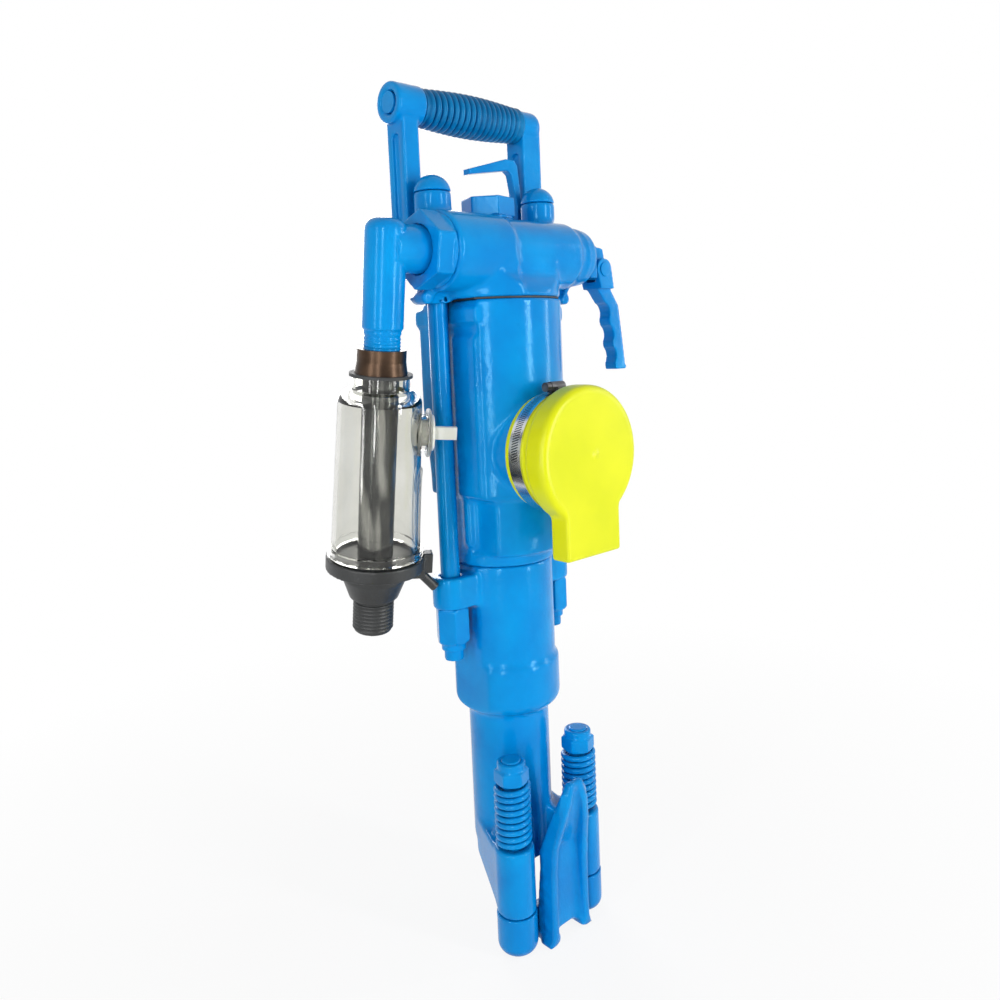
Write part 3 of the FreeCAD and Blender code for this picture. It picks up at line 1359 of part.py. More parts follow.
def make_cup(cup_top, cup_low):
    """Clear cup: threaded neck, shoulder, tapered wall and filler boss on its side."""
    wall, gap = size.cup_wall, size.seat_gap
    neck, shoulder, foot = size.cup_neck_radius, size.cup_shoulder_radius, size.cup_bottom_radius
    neck_low = cup_top + size.cup_neck_length
    shoulder_low = neck_low + size.cup_shoulder_drop
    outer = turned("cup_outer", [
        (0, -cup_low),
        (size.cup_rim_radius, -cup_low),
        (size.cup_rim_radius, -cup_low + size.cup_rim_height),
        (foot, -cup_low + size.cup_rim_height),
        (shoulder, -shoulder_low),
        (neck, -neck_low, size.cup_shoulder_drop * 1.05, "left"),
        (neck, -cup_top),
        (0, -cup_top),
    ])
    inner = turned("cup_inner", [
        (0, -cup_low - size.overrun),
        (foot - wall, -cup_low - size.overrun),
        (foot - wall, -cup_low + size.cup_rim_height),
        (shoulder - wall, -shoulder_low),
        (neck - wall, -neck_low - wall),
        (neck - wall, -cup_top + size.overrun),
        (0, -cup_top + size.overrun),
    ])
    boss = rod("filler_boss", size.filler_boss_radius, size.filler_boss_reach, (0, 0, -size.filler_drop), "X")
    hole = rod("filler_hole", size.filler_hole_radius + gap, size.filler_boss_reach + size.overrun,
               (0, 0, -size.filler_drop), "X")
    hollow = carved("cup_boss_hollow", boss, hole)
    boss_outside = carved("cup_boss", hollow, inner)
    shell = carved("cup_shell", outer, inner)
    hole_again = rod("cup_side_hole", size.filler_hole_radius + gap, size.filler_boss_reach + size.overrun,
                     (0, 0, -size.filler_drop), "X")
    cup = carved("cup_upright", joined("cup_cast", shell, boss_outside), hole_again)
    node("oil_cup", at_inlet(turned_side("oil_cup", cup)))
    seat = size.filler_boss_reach
    gasket = turned("filler_gasket", [
        (size.filler_hole_radius, seat),
        (size.filler_boss_radius, seat),
        (size.filler_boss_radius, seat + size.filler_gasket_thickness),
        (size.filler_hole_radius, seat + size.filler_gasket_thickness),
    ], (0, 0, -size.filler_drop), "X")
    node("filler_gasket", at_inlet(turned_side("filler_gasket", gasket)))
    flange_start = seat + size.filler_gasket_thickness
    flange_end = flange_start + size.filler_flange_thickness
    body = turned("filler_body", [
        (0, seat - size.filler_shank_length),
        (size.filler_hole_radius - gap, seat - size.filler_shank_length),
        (size.filler_hole_radius - gap, flange_start),
        (size.filler_flange_radius, flange_start),
        (size.filler_flange_radius - size.overrun, flange_end),
        (0, flange_end),
    ], (0, 0, -size.filler_drop), "X")
    tab = brick("filler_tab", (flange_end - size.overrun, -size.filler_tab_thickness / 2,
                               -size.filler_drop - size.filler_tab_width / 2),
                (flange_end + size.filler_tab_length, size.filler_tab_thickness / 2,
                 -size.filler_drop + size.filler_tab_width / 2))
    plug = joined("filler_upright", body, tab)
    node("filler_plug", at_inlet(turned_side("filler_plug", plug)))


def turned_side(name, thing):
    """Swing a side fitting round the hanging pipe towards the front."""
    swung = grouped(name + "_swung", thing)
    swung.Placement = Placement(Vector(), Rotation(Vector(0, 0, 1), -size.side_turn.value))
    return grouped(name, swung)


def make_base(top):
    """Black base with flange, conical body, threaded nipple and the oil screw's side boss."""
    flange_low = top + size.base_flange_height
    body_low = flange_low + size.base_body_drop
    nipple_low = body_low + size.nipple_length
    inner = size.oil_tube_radius - size.oil_tube_wall
    outline = [
        (inner - size.overrun, -nipple_low),
        (size.nipple_radius - size.overrun, -nipple_low),
        (size.nipple_radius, -nipple_low + size.overrun),
        (size.nipple_radius, -body_low),
        (size.base_body_radius - size.base_body_drop / 4, -body_low),
        (size.base_body_radius, -flange_low - size.base_body_drop / 3),
        (size.base_body_radius, -flange_low),
        (size.base_flange_radius, -flange_low),
        (size.base_flange_radius, -top),
        (inner - size.overrun, -top),
    ]
    casting = turned("base_casting", outline)
    low = flange_low + size.base_body_drop / 3
    half = size.oil_boss_half_width
    boss = brick("oil_boss", (size.base_body_radius / 2 + size.overrun, -half, -low),
                 (size.oil_boss_reach, half, -top - size.overrun * 2))
    block = brick("oil_block", (size.base_flange_radius - size.overrun / 2, -size.oil_block_half_width,
                                -top - size.base_flange_height - size.oil_block_hang),
                  (size.oil_block_reach, size.oil_block_half_width, -top + size.oil_block_rise))
    through = rod("base_through", inner - size.overrun, nipple_low - top + size.overrun * 2,
                  (0, 0, -nipple_low - size.overrun))
    start, drop = size.oil_screw_start, -size.oil_screw_drop
    seat = slanted("screw_seat", size.oil_screw_radius + size.seat_gap, size.oil_screw_length, (start, 0, drop))
    base = carved("base_upright", joined("base_body", casting, boss, block), through, seat)
    node("lubricator_base", at_inlet(turned_side("lubricator_base", base)))
    screw = slanted("screw_round", size.oil_screw_radius, size.oil_screw_length, (start, 0, drop))
    node("oil_screw", at_inlet(turned_side("oil_screw", screw)))


def slanted(name, radius, length, base):
    """A round bar that points outward and down at half a right angle."""
    solid = doc.addObject("Part::Cylinder", name)
    bind(solid, "Radius", radius)
    bind(solid, "Height", length)
    return place(solid, base, Rotation(Vector(0, 1, 0), 135))


def make_muffler():
    """Soft exhaust cap: sleeve over the port, round hollow head and a flat nozzle pointing down."""
    level = port_level
    wall = size.muffler_wall
    sleeve_outer = size.port_radius + size.seat_gap + size.sleeve_wall
    radius, edge = size.muffler_radius, size.muffler_round
    back, front, start = size.muffler_back, size.muffler_front, size.sleeve_start
    shell = turned("cap_shell", [
        (0, -front),
        (radius - edge, -front),
        (radius, -front + edge, edge, "left"),
        (radius, -back),
        (sleeve_outer, -back),
        (sleeve_outer, -start),
        (0, -start),
    ], (0, 0, level), "Y")
    nozzle_half = size.nozzle_width / 2
    depth = size.nozzle_depth
    nozzle = brick("nozzle", (-nozzle_half, -front, level - size.nozzle_drop),
                   (nozzle_half, -front + depth, level))
    hollow = turned("cap_hollow", [
        (0, -front + wall),
        (radius - wall, -front + wall),
        (radius - wall, -back - wall),
        (size.port_radius + size.seat_gap, -back - wall),
        (size.port_radius + size.seat_gap, -start + size.overrun),
        (0, -start + size.overrun),
    ], (0, 0, level), "Y")
    duct = brick("duct", (-nozzle_half + wall, -front + wall, level - size.nozzle_drop - size.overrun),
                 (nozzle_half - wall, -front + depth - wall, level))
    node("muffler", carved("muffler", joined("cap_body", shell, nozzle), hollow, duct))
    inner = sleeve_outer + size.seat_gap
    outer = inner + size.clamp_thickness
    clamp_end = size.clamp_start + size.clamp_width
    band = turned("clamp_band", [
        (inner, -clamp_end),
        (outer, -clamp_end),
        (outer, -size.clamp_start),
        (inner, -size.clamp_start),
    ], (0, 0, level), "Y")
    node("hose_clamp", band)
    middle = (size.clamp_start + clamp_end) / 2
    half = size.clamp_screw_length / 2
    bar = rod("clamp_worm", size.clamp_screw_radius, size.clamp_screw_length,
              (-half, -middle, level + outer + size.clamp_screw_radius), "X")
    head = rod("clamp_head", size.clamp_head_radius, size.clamp_head_length,
               (-half - size.clamp_head_length, -middle, level + outer + size.clamp_screw_radius), "X")
    house = brick("clamp_house", (-half / 2, -middle - size.clamp_width / 2, level + outer),
                  (half / 2, -middle + size.clamp_width / 2, level + outer + size.clamp_screw_radius))
    node("clamp_screw", joined("clamp_screw_body", bar, head, house))


def make_side_bolts():
    """Sprung bolts that carry the retainer: domed heads below, nuts and springs above."""
    out, front = size.side_bolt_out, -size.side_bolt_front
    head_top_level = -size.side_boss_low - size.running_gap
    head_low = head_top_level - size.side_head_height
    radius, edge = size.side_head_radius, size.side_head_round
    bolt = turned("side_bolt_round", [
        (0, head_low),
        (radius - edge, head_low),
        (radius, head_low + edge, edge, "left"),
        (radius, head_top_level),
        (size.side_bolt_radius, head_top_level),
        (size.side_bolt_radius, size.side_bolt_top),
        (0, size.side_bolt_top),
    ], (out, front, 0))
    cross = rod("side_cross_hole", size.retainer_pin_radius + size.running_gap, out, (0, front, -size.retainer_pin_level), "X")
    bolt = carved("side_bolt", bolt, cross)
    node("retainer_bolts", grouped("retainer_bolts", bolt, mirrored("other_side_bolt", bolt)))
    nut_low = size.side_bolt_top - size.side_nut_height - size.overrun
    block = hexagon("side_nut_block", size.nut_flats, size.side_nut_height, (out, front, nut_low), turn=20)
    hole = rod("side_nut_hole", size.side_bolt_radius + size.seat_gap, size.side_nut_height + size.overrun * 2,
               (out, front, nut_low - size.overrun))
    nut = carved("side_nut", block, hole)
    node("retainer_nuts", grouped("retainer_nuts", nut, mirrored("other_side_nut", nut)))
    spring = held("side_spring", coil(nut_low.value))
    place(spring, (out, front, 0))
    node("retainer_springs", grouped("retainer_springs", spring, mirrored("other_side_spring", spring)))


def coil(top):
    """One unbroken spring tube from the boss to the nut: closed end turns, open turns between."""
    wire, radius = size.spring_wire.value, size.spring_radius.value
    low = size.side_boss_high.value + wire + size.seat_gap.value
    high = top - wire - size.seat_gap.value
    turns = int(size.spring_turns.value)
    steps = turns * 4
    closed = 2 * wire + size.spring_closed_gap.value

    def height(turn):
        """Height after so many turns; the first and last turns lie a wire apart."""
        body = (high - low - 2 * closed) / (turns - 2)
        if turn <= 1:
            return low + closed * turn
        if turn >= turns - 1:
            return high - closed * (turns - turn)
        return low + closed + body * (turn - 1)

    def spot(step):
        angle = math.tau * step / 4
        return Vector(radius * math.cos(angle), radius * math.sin(angle), height(step / 4))

    def heading(step):
        angle = math.tau * step / 4
        rise = (height(min(step / 4 + 0.125, turns)) - height(max(step / 4 - 0.125, 0))) / 0.25 / math.tau
        return Vector(-radius * math.sin(angle), radius * math.cos(angle), rise).normalize()

    edges = []
    samples = []
    for step in range(steps):
        edges += biarc(spot(step), heading(step), spot(step + 1), heading(step + 1))
    for edge in edges:
        samples += edge.discretize(7)[:-1]
    path = Part.Wire(edges)
    section = Part.Wire(Part.Circle(spot(0), heading(0), wire).toShape())
    tube = path.makePipeShell([section], True, False)
    print("spring least gap to itself: %.2f mm" % least_gap(samples, wire))
    return tube


def biarc(start, start_way, end, end_way):
    """Two tangent arcs from one point and heading to the next."""
    across = end - start
    both = start_way + end_way
    span = 2 * (1 - start_way.dot(end_way))
    reach = (-across.dot(both) + math.sqrt(across.dot(both) ** 2 + span * across.dot(across))) / span
    first = start + start_way * reach
    second = end - end_way * reach
    middle = (first + second) * 0.5
    arcs = []
    for near, corner, far in ((start, first, middle), (middle, second, end)):
        leg = (corner - near).normalize() + (corner - far).normalize()
        half = (far - near).Length / 2
        rise = (corner - (near + far) * 0.5).Length
        sag = half * math.tan(math.atan2(rise, half) / 2)
        top = (near + far) * 0.5 + leg.normalize() * sag
        arcs.append(Part.Arc(near, top, far).toShape())
    return arcs


def least_gap(samples, wire):
    """Smallest distance between stretches of the tube that are not neighbours along it."""
    apart = len(samples) // int(size.spring_turns.value) // 2
    return min((one - other).Length for i, one in enumerate(samples)
               for other in samples[i + apart:]) - 2 * wire


def make_retainer():
    """Ribbed tongue on a hub between the bolt heads, with two claws that reach under the steel."""
    thick = size.retainer_thickness
    pin_level = -size.retainer_pin_level
    foot, mid, top = -size.retainer_foot_front, -size.retainer_mid_front, -size.retainer_top_front
    profile = slab("tongue_profile", "YZ_Plane", [
        (foot, pin_level - thick),
        (foot + thick, pin_level - thick),
        (mid + thick, size.retainer_mid_level),
        (top + thick, size.retainer_top_level - thick),
        (top + thick / 2, size.retainer_top_level),
        (top, size.retainer_top_level - thick / 2),
        (mid, size.retainer_mid_level),
    ], -size.retainer_half_width, size.retainer_half_width)
    wide, narrow = size.retainer_half_width, size.retainer_top_half_width
    shape = slab("tongue_outline", "XZ_Plane", [
        (-wide, pin_level - thick * 2),
        (wide, pin_level - thick * 2),
        (wide, size.retainer_mid_level),
        (narrow, size.retainer_top_level),
        (-narrow, size.retainer_top_level),
        (-wide, size.retainer_mid_level),
    ], top - size.overrun, Size.of(0))
    tongue = shared("tongue", profile, shape)
    rib_high = size.retainer_rib_height
    rib_out, rib_half = size.retainer_rib_out, size.retainer_rib_width / 2
    rib = slab("tongue_rib", "YZ_Plane", [
        (foot + thick / 2, pin_level - thick),
        (mid + thick / 2, size.retainer_mid_level),
        (top + thick / 2, size.retainer_top_level - thick),
        (top + rib_half, size.retainer_top_level - thick * 2),
        (mid - rib_high, size.retainer_mid_level),
        (foot - rib_high, pin_level - thick),
    ], rib_out - rib_half, rib_out + rib_half)
    hub = rod("retainer_hub", size.retainer_hub_radius, size.retainer_hub_half * 2,
              (-size.retainer_hub_half, -size.side_bolt_front, pin_level), "X")
    neck = brick("hub_neck", (-size.retainer_half_width, foot + thick / 2, pin_level - size.retainer_hub_radius),
                 (size.retainer_half_width, -size.side_bolt_front, pin_level + size.retainer_hub_radius / 2))
    claw_low, claw_out = -size.claw_level, size.claw_out
    toe = slab("claw_toe", "XZ_Plane", [
        (claw_out - size.claw_width, claw_low),
        (claw_out, claw_low),
        (rib_out + rib_half, pin_level),
        (rib_out - rib_half, pin_level),
        (rib_out, pin_level - thick * 2),
    ], foot - rib_high, foot + size.claw_thickness)
    prong = brick("claw_prong", (size.claw_notch_radius, foot, claw_low),
                  (size.retainer_half_width, -size.claw_reach, claw_low + size.claw_thickness))
    side = joined("claw_side", rib, toe, prong)
    body = joined("retainer_body", tongue, hub, neck, side, mirrored("other_claw_side", side))
    notch = rod("steel_notch", size.claw_notch_radius, size.claw_level + size.claw_thickness,
                (0, 0, claw_low - size.overrun))
    pin_hole = rod("hub_hole", size.retainer_pin_radius + size.seat_gap, size.retainer_hub_half * 2 + size.overrun * 2,
                   (-size.retainer_hub_half - size.overrun, -size.side_bolt_front, pin_level), "X")
    node("retainer", carved("retainer", body, notch, pin_hole))
    reach = size.side_bolt_out - size.overrun
    node("retainer_pin", rod("retainer_pin", size.retainer_pin_radius, reach * 2,
                             (-reach, -size.side_bolt_front, pin_level), "X"))


make_front_head()
make_nose_bush()
make_chuck()
make_cylinder()
make_piston()
make_rifle_bar()
make_valve_gear()
make_back_head()
make_plug()
make_tie_bolts()
make_throttle()
make_grip()
make_trigger()
make_gland_nut()
make_elbow()
make_lubricator()
make_muffler()
make_side_bolts()
make_retainer()
doc.recompute()

for thing in doc.Objects:
    if {"Invalid", "Error"} & set(thing.State):
        raise RuntimeError(f"{thing.Name} did not rebuild: {thing.State}")
os.makedirs("parts", exist_ok=True)
for name, thing in NODES.items():
    if thing.Shape.isNull() or not thing.Shape.isValid():
        raise RuntimeError(f"{name} has no valid shape")
    if not thing.Shape.Solids:
        raise RuntimeError(f"{name} has no solid")
    thing.Shape.exportStep(f"parts/{name}.step")
    print(f"{name}: {len(thing.Shape.Solids)} solid, {thing.Shape.Volume / 1000:.1f} cm3")
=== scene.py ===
"""Looks for the pneumatic rock drill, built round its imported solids.

Metres, in the part's own frame: +Z runs up the drill to the hand grip, +X along the grip to the
throttle lever, and -Y towards the exhaust cap and the steel retainer.
"""
import json
import math

import bmesh
import bpy
from mathutils import Matrix, Vector


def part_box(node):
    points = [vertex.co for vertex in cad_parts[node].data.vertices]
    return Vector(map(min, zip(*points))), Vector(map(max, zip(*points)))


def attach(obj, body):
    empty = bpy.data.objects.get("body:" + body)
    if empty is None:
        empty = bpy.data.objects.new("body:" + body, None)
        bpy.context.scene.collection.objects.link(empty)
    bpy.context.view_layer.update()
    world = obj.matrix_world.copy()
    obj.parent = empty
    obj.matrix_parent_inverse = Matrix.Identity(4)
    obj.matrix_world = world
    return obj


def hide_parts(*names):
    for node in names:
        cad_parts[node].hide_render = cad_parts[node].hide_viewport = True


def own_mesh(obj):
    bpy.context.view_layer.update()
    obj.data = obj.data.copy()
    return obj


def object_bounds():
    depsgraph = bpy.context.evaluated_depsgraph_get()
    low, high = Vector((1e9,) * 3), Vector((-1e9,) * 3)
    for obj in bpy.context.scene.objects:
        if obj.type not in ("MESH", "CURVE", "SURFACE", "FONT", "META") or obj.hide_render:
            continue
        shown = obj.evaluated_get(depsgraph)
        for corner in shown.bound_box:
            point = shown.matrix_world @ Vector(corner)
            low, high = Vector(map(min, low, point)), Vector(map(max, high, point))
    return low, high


MM = 0.001
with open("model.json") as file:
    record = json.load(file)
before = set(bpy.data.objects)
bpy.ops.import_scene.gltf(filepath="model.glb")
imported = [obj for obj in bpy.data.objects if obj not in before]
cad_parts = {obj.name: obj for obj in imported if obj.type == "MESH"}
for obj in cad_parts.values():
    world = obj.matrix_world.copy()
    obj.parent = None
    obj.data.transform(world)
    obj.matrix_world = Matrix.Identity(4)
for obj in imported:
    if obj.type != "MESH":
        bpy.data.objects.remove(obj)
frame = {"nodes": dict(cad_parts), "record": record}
cad_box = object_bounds()
scene = bpy.context.scene

# Camera at the photograph's place
CAMERA_PLACE = Vector((-419.67, -469.22, 388.0)) * MM
CAMERA_YAW = math.radians(42.0)
CAMERA_PITCH = math.radians(-5.65)
CAMERA_ROLL = math.radians(-2.39)
CAMERA_LENS = 30.41
CAMERA_SHIFT = -0.0698

# Soft lamps as (name, place, width and height, power), turned towards the middle of the drill
LAMP_AIM = Vector((0, 0, 0.3))
LAMPS = [
    ("key_panel", (0.36, -1.09, 0.42), (0.12, 0.90), 7),
    ("side_key_panel", (-0.90, -0.72, 0.42), (0.08, 0.90), 4.4),
    ("left_strip", (-1.14, -0.20, 0.42), (0.07, 0.90), 3.4),
    ("right_strip", (1.1, -0.7, 0.6), (0.06, 0.8), 2.6),
    ("back_panel", (0.6, 1.3, 0.7), (0.8, 0.8), 10),
]

# Paint, plastic and metal colours, linear
BLUE = (0.0006, 0.227, 0.63, 1)
BLUE_LIGHT = (0.0006, 0.294, 0.72, 1)
# Deep blue laid in hollow corners as painted shade, with some dirt
BLUE_CORNER_SHADE = (0.0006, 0.0294, 0.171, 1)
BLUE_SHEEN = (0.35, 0.8, 1, 1)
SLEEVE = (0.003, 0.20, 0.47, 1)
SLEEVE_DEEP = (0.001, 0.14, 0.36, 1)
YELLOW = (0.74, 0.77, 0.001, 1)
YELLOW_DEEP = (0.68, 0.73, 0.001, 1)
# Dark yellow laid in hollow corners as painted shade, with some dirt
YELLOW_CORNER_SHADE = (0.40, 0.46, 0.001, 1)
WHITE = (0.82, 0.82, 0.77, 1)
WHITE_DEEP = (0.70, 0.71, 0.65, 1)
BLACK = (0.010, 0.011, 0.011, 1)
GREY = (0.034, 0.037, 0.038, 1)
BROWN = (0.10, 0.062, 0.040, 1)
BROWN_DARK = (0.020, 0.014, 0.011, 1)
OILED = (0.085, 0.088, 0.085, 1)
OILED_DARK = (0.022, 0.024, 0.023, 1)
# Paler steel of the tube's stripes, partly painted reflection streaks
WIPED_SHEEN = (0.42, 0.42, 0.40, 1)
STAINLESS = (0.78, 0.79, 0.80, 1)
STAINLESS_DARK = (0.60, 0.61, 0.63, 1)
SLOT_SHADE = (0.03, 0.035, 0.035, 1)
CLEAR = (0.86, 0.86, 0.83, 1)
CLEAR_OILED = (0.78, 0.78, 0.74, 1)
STEEL = (0.62, 0.63, 0.65, 1)
STEEL_DARK = (0.30, 0.31, 0.33, 1)
BRONZE = (0.62, 0.42, 0.19, 1)
BRONZE_DARK = (0.34, 0.21, 0.09, 1)

# Axes of the drill that the pieces are built on, in millimetres
BARREL_FRONT = -18
BARREL_LEVEL = 453.5
PORT_LEVEL = 313.5
INLET_OUT = -105
INLET_TILT = math.radians(8.8)
FILLER_DROP = -120
FILLER_TURN = math.radians(-31)
GRIP_BACK = 22.5
GRIP_LEVEL = 558.4
SIDE_OUT = 34.9
SIDE_FRONT = -38.8
TIE_OUT = 51
NUT_FLATS = 22.0
NUT_BORE = 6.9
NUT_CORNER = 12.8

# Coil springs of the retainer, in millimetres
SPRING_LOW = 30.5
SPRING_HIGH = 78.0
SPRING_WIRE = 2.1
SPRING_MEAN = 11.3
SPRING_TURNS = 9

# A turned shape's least radius, so that its faces on the axis don't fall together
AXIS_GAP = 0.01

# Hollow under the barrel, as (level, front) from its foot upwards
WAIST = [(424, -50.8), (428, -49.4), (432, -46.8), (436, -43.6), (439.5, -42.2), (443, -43.4),
         (447, -44.7), (453.5, -45.4), (470, -46)]

# Retainer's face as (level, half width, depth), and one flange as (level, middle, half width, front, back)
RETAINER_FACE = [(-41, 13.5, -55.4), (22, 13.5, -53.4), (58, 5.5, -63.9), (70, 1.5, -67.4)]
RETAINER_FLANGE = [
    (-48, 19.6, 3.0, -60, -52),
    (-40, 16.4, 3.0, -61, -47),
    (-28, 16.2, 3.0, -60.5, -42.7),
    (-8, 16.0, 3.1, -60.5, -45),
    (8, 16.0, 3.1, -61, -47),
    (26, 15.6, 3.2, -62.5, -50.5),
    (44, 12.4, 3.2, -67, -55),
    (60, 8.4, 3.0, -70, -60),
    (75.5, 3.6, 2.8, -70, -64),
]

# The lubricator hangs along Z of its own frame, and its filler points along Z of another
HANG = (Matrix.Translation(Vector((INLET_OUT, BARREL_FRONT, BARREL_LEVEL)) * MM)
        @ Matrix.Rotation(INLET_TILT, 4, "X"))
FILLER = (HANG @ Matrix.Translation((0, 0, FILLER_DROP * MM)) @ Matrix.Rotation(FILLER_TURN, 4, "Z")
          @ Matrix.Rotation(math.pi / 2, 4, "Y"))


def add(tree, kind, inputs=None, **settings):
    """One shader node with its settings and its inputs, each a value or a socket to link."""
    made = tree.nodes.new(kind)
    for name, value in settings.items():
        setattr(made, name, value)
    for name, value in (inputs or {}).items():
        if isinstance(value, bpy.types.NodeSocket):
            tree.links.new(value, made.inputs[name])
        else:
            made.inputs[name].default_value = value
    return made


def maths(tree, operation, first, second=0.0):
    return add(tree, "ShaderNodeMath", {0: first, 1: second}, operation=operation).outputs[0]


def scaled(tree, value, factor, base):
    """A value times a factor, on top of a base that is a number or a socket."""
    return add(tree, "ShaderNodeMath", {0: value, 1: factor, 2: base}, operation="MULTIPLY_ADD").outputs[0]


def near_value(tree, value, middle, reach):
    """1 where a value lies within reach of the middle, and 0 elsewhere."""
    return add(tree, "ShaderNodeMath", {0: value, 1: middle, 2: reach}, operation="COMPARE").outputs[0]


def spread(tree, value, low, high):
    """A value from 0 to 1 between low and high."""
    made = add(tree, "ShaderNodeMapRange", {"Value": value, "From Min": low, "From Max": high})
    return made.outputs["Result"]


def blend_colours(tree, mask, first, second):
    made = add(tree, "ShaderNodeMix", {"Factor": mask, "A": first, "B": second}, data_type="RGBA")
    return made.outputs["Result"]


def new_group(name, inputs, outputs):
    """An empty node group whose inputs and outputs are floats."""
    group = bpy.data.node_groups.new(name, "ShaderNodeTree")
    for label, value in inputs.items():
        socket = group.interface.new_socket(label, in_out="INPUT", socket_type="NodeSocketFloat")
        socket.default_value = value
    for label in outputs:
        group.interface.new_socket(label, in_out="OUTPUT", socket_type="NodeSocketFloat")
    start = group.nodes.new("NodeGroupInput")
    end = group.nodes.new("NodeGroupOutput")
    return group, start.outputs, end.inputs


def place_noise(group, scale, detail=2.0, stretch=None):
    """Noise fixed to the drill's own coordinates, stretched along an axis where that is asked."""
    place = add(group, "ShaderNodeTexCoord").outputs["Object"]
    if stretch:
        place = add(group, "ShaderNodeMapping", {"Vector": place, "Scale": stretch}).outputs[0]
    noise = add(group, "ShaderNodeTexNoise", {"Vector": place, "Scale": scale, "Detail": detail})
    return noise.outputs["Fac"]


def cast_skin_group():
    """Sand-cast skin under thick enamel: low swells, fine sand grain and a few pits."""
    inputs = {"Grain Scale": 420.0, "Swell": 0.6, "Grain": 0.35, "Pits": 0.25}
    group, start, end = new_group("cast_skin", inputs, ["Height", "Tone"])
    swell = place_noise(group, 70.0, 2.0)
    grain = place_noise(group, start["Grain Scale"], 3.0)
    place = add(group, "ShaderNodeTexCoord").outputs["Object"]
    cells = add(group, "ShaderNodeTexVoronoi", {"Vector": place, "Scale": 150.0}, feature="SMOOTH_F1")
    pit = spread(group, cells.outputs["Distance"], 0.22, 0.06)
    height = maths(group, "MULTIPLY", swell, start["Swell"])
    height = maths(group, "ADD", height, maths(group, "MULTIPLY", grain, start["Grain"]))
    height = maths(group, "SUBTRACT", height, maths(group, "MULTIPLY", pit, start["Pits"]))
    group.links.new(height, end["Height"])
    group.links.new(spread(group, place_noise(group, 28.0, 3.0), 0.35, 0.68), end["Tone"])
    return group


def shade_and_grime_group():
    """Painted shade darkening hollow corners, found by ambient occlusion, with some dust and oil there too,
    broken up by noise.
    """
    group, start, end = new_group("corner_shade_and_grime", {"Reach": 0.012, "Amount": 0.6}, ["Mask"])
    near = add(group, "ShaderNodeAmbientOcclusion", {"Distance": start["Reach"]}, samples=8)
    corner_shade = spread(group, near.outputs["AO"], 0.75, 0.15)
    patchy = spread(group, place_noise(group, 160.0, 4.0), 0.3, 0.7)
    mask = maths(group, "MULTIPLY", maths(group, "MULTIPLY", corner_shade, patchy), start["Amount"])
    group.links.new(mask, end["Mask"])
    return group


def turned_group():
    """Fine rings and scratches that a lathe or a grinder leaves along the drill's axis."""
    group, start, end = new_group("turned_marks", {"Fineness": 900.0}, ["Height", "Tone"])
    rings = place_noise(group, start["Fineness"], 2.0, stretch=(0.06, 0.06, 1.0))
    stain = place_noise(group, 45.0, 4.0)
    group.links.new(rings, end["Height"])
    group.links.new(spread(group, stain, 0.32, 0.7), end["Tone"])
    return group


def moulded_group():
    """Fine moulded grain with soft flow clouds, for plastic and rubber."""
    inputs = {"Grain Scale": 1400.0, "Cloud": 0.5}
    group, start, end = new_group("moulded_grain", inputs, ["Height", "Tone"])
    grain = place_noise(group, start["Grain Scale"], 2.0)
    cloud = place_noise(group, 22.0, 3.0)
    height = maths(group, "ADD", grain, maths(group, "MULTIPLY", cloud, start["Cloud"]))
    group.links.new(height, end["Height"])
    group.links.new(spread(group, cloud, 0.36, 0.66), end["Tone"])
    return group


def clamp_slots_group():
    """Slanted slots punched in the upper part of the hose clamp's band."""
    slant = 8.0
    slot_half_share = 0.22
    row_front = -0.0625
    row_half = 0.0030
    group, start, end = new_group("clamp_slots", {"Count": 150.0}, ["Slot"])
    place = add(group, "ShaderNodeTexCoord").outputs["Object"]
    parts = add(group, "ShaderNodeSeparateXYZ", {"Vector": place}).outputs
    level = maths(group, "SUBTRACT", parts["Z"], PORT_LEVEL * MM)
    turn = maths(group, "ARCTAN2", parts["X"], level)
    across = maths(group, "MULTIPLY", parts["Y"], slant)
    count = maths(group, "DIVIDE", start["Count"], math.tau)
    wave = maths(group, "FRACT", maths(group, "MULTIPLY", maths(group, "ADD", turn, across), count))
    slit = near_value(group, wave, 0.5, slot_half_share)
    row = near_value(group, parts["Y"], row_front, row_half)
    upper = spread(group, level, -0.004, -0.001)
    mask = maths(group, "MULTIPLY", maths(group, "MULTIPLY", slit, row), upper)
    group.links.new(mask, end["Slot"])
    return group


def wiped_and_sheen_group():
    """Stripes and scratches along the lubricator's hanging tube, partly wiping marks and partly painted
    reflection streaks.
    """
    group, start, end = new_group("wiped_and_sheen_stripes", {"Fineness": 105.0}, ["Stripe"])
    stripes = place_noise(group, start["Fineness"], 1.0, stretch=(1.0, 1.0, 0.03))
    scratches = place_noise(group, 900.0, 2.0, stretch=(1.0, 1.0, 0.05))
    broad = spread(group, stripes, 0.56, 0.66)
    fine = maths(group, "MULTIPLY", spread(group, scratches, 0.60, 0.72), 0.35)
    group.links.new(maths(group, "MAXIMUM", broad, fine), end["Stripe"])
    return group


CAST_SKIN = cast_skin_group()
CORNER_SHADE_AND_GRIME = shade_and_grime_group()
TURNED_MARKS = turned_group()
MOULDED_GRAIN = moulded_group()
CLAMP_SLOTS = clamp_slots_group()
WIPED_AND_SHEEN_STRIPES = wiped_and_sheen_group()


def new_material(name):
    """A material, its tree and its shader."""
    material = bpy.data.materials.new(name)
    material.use_nodes = True
    tree = material.node_tree
    return material, tree, tree.nodes["Principled BSDF"]


def use_group(tree, group, inputs=None):
    """The outputs of a node that uses a group."""
    made = tree.nodes.new("ShaderNodeGroup")
    made.node_tree = group
    set_sockets(made, inputs or {})
    return made.outputs


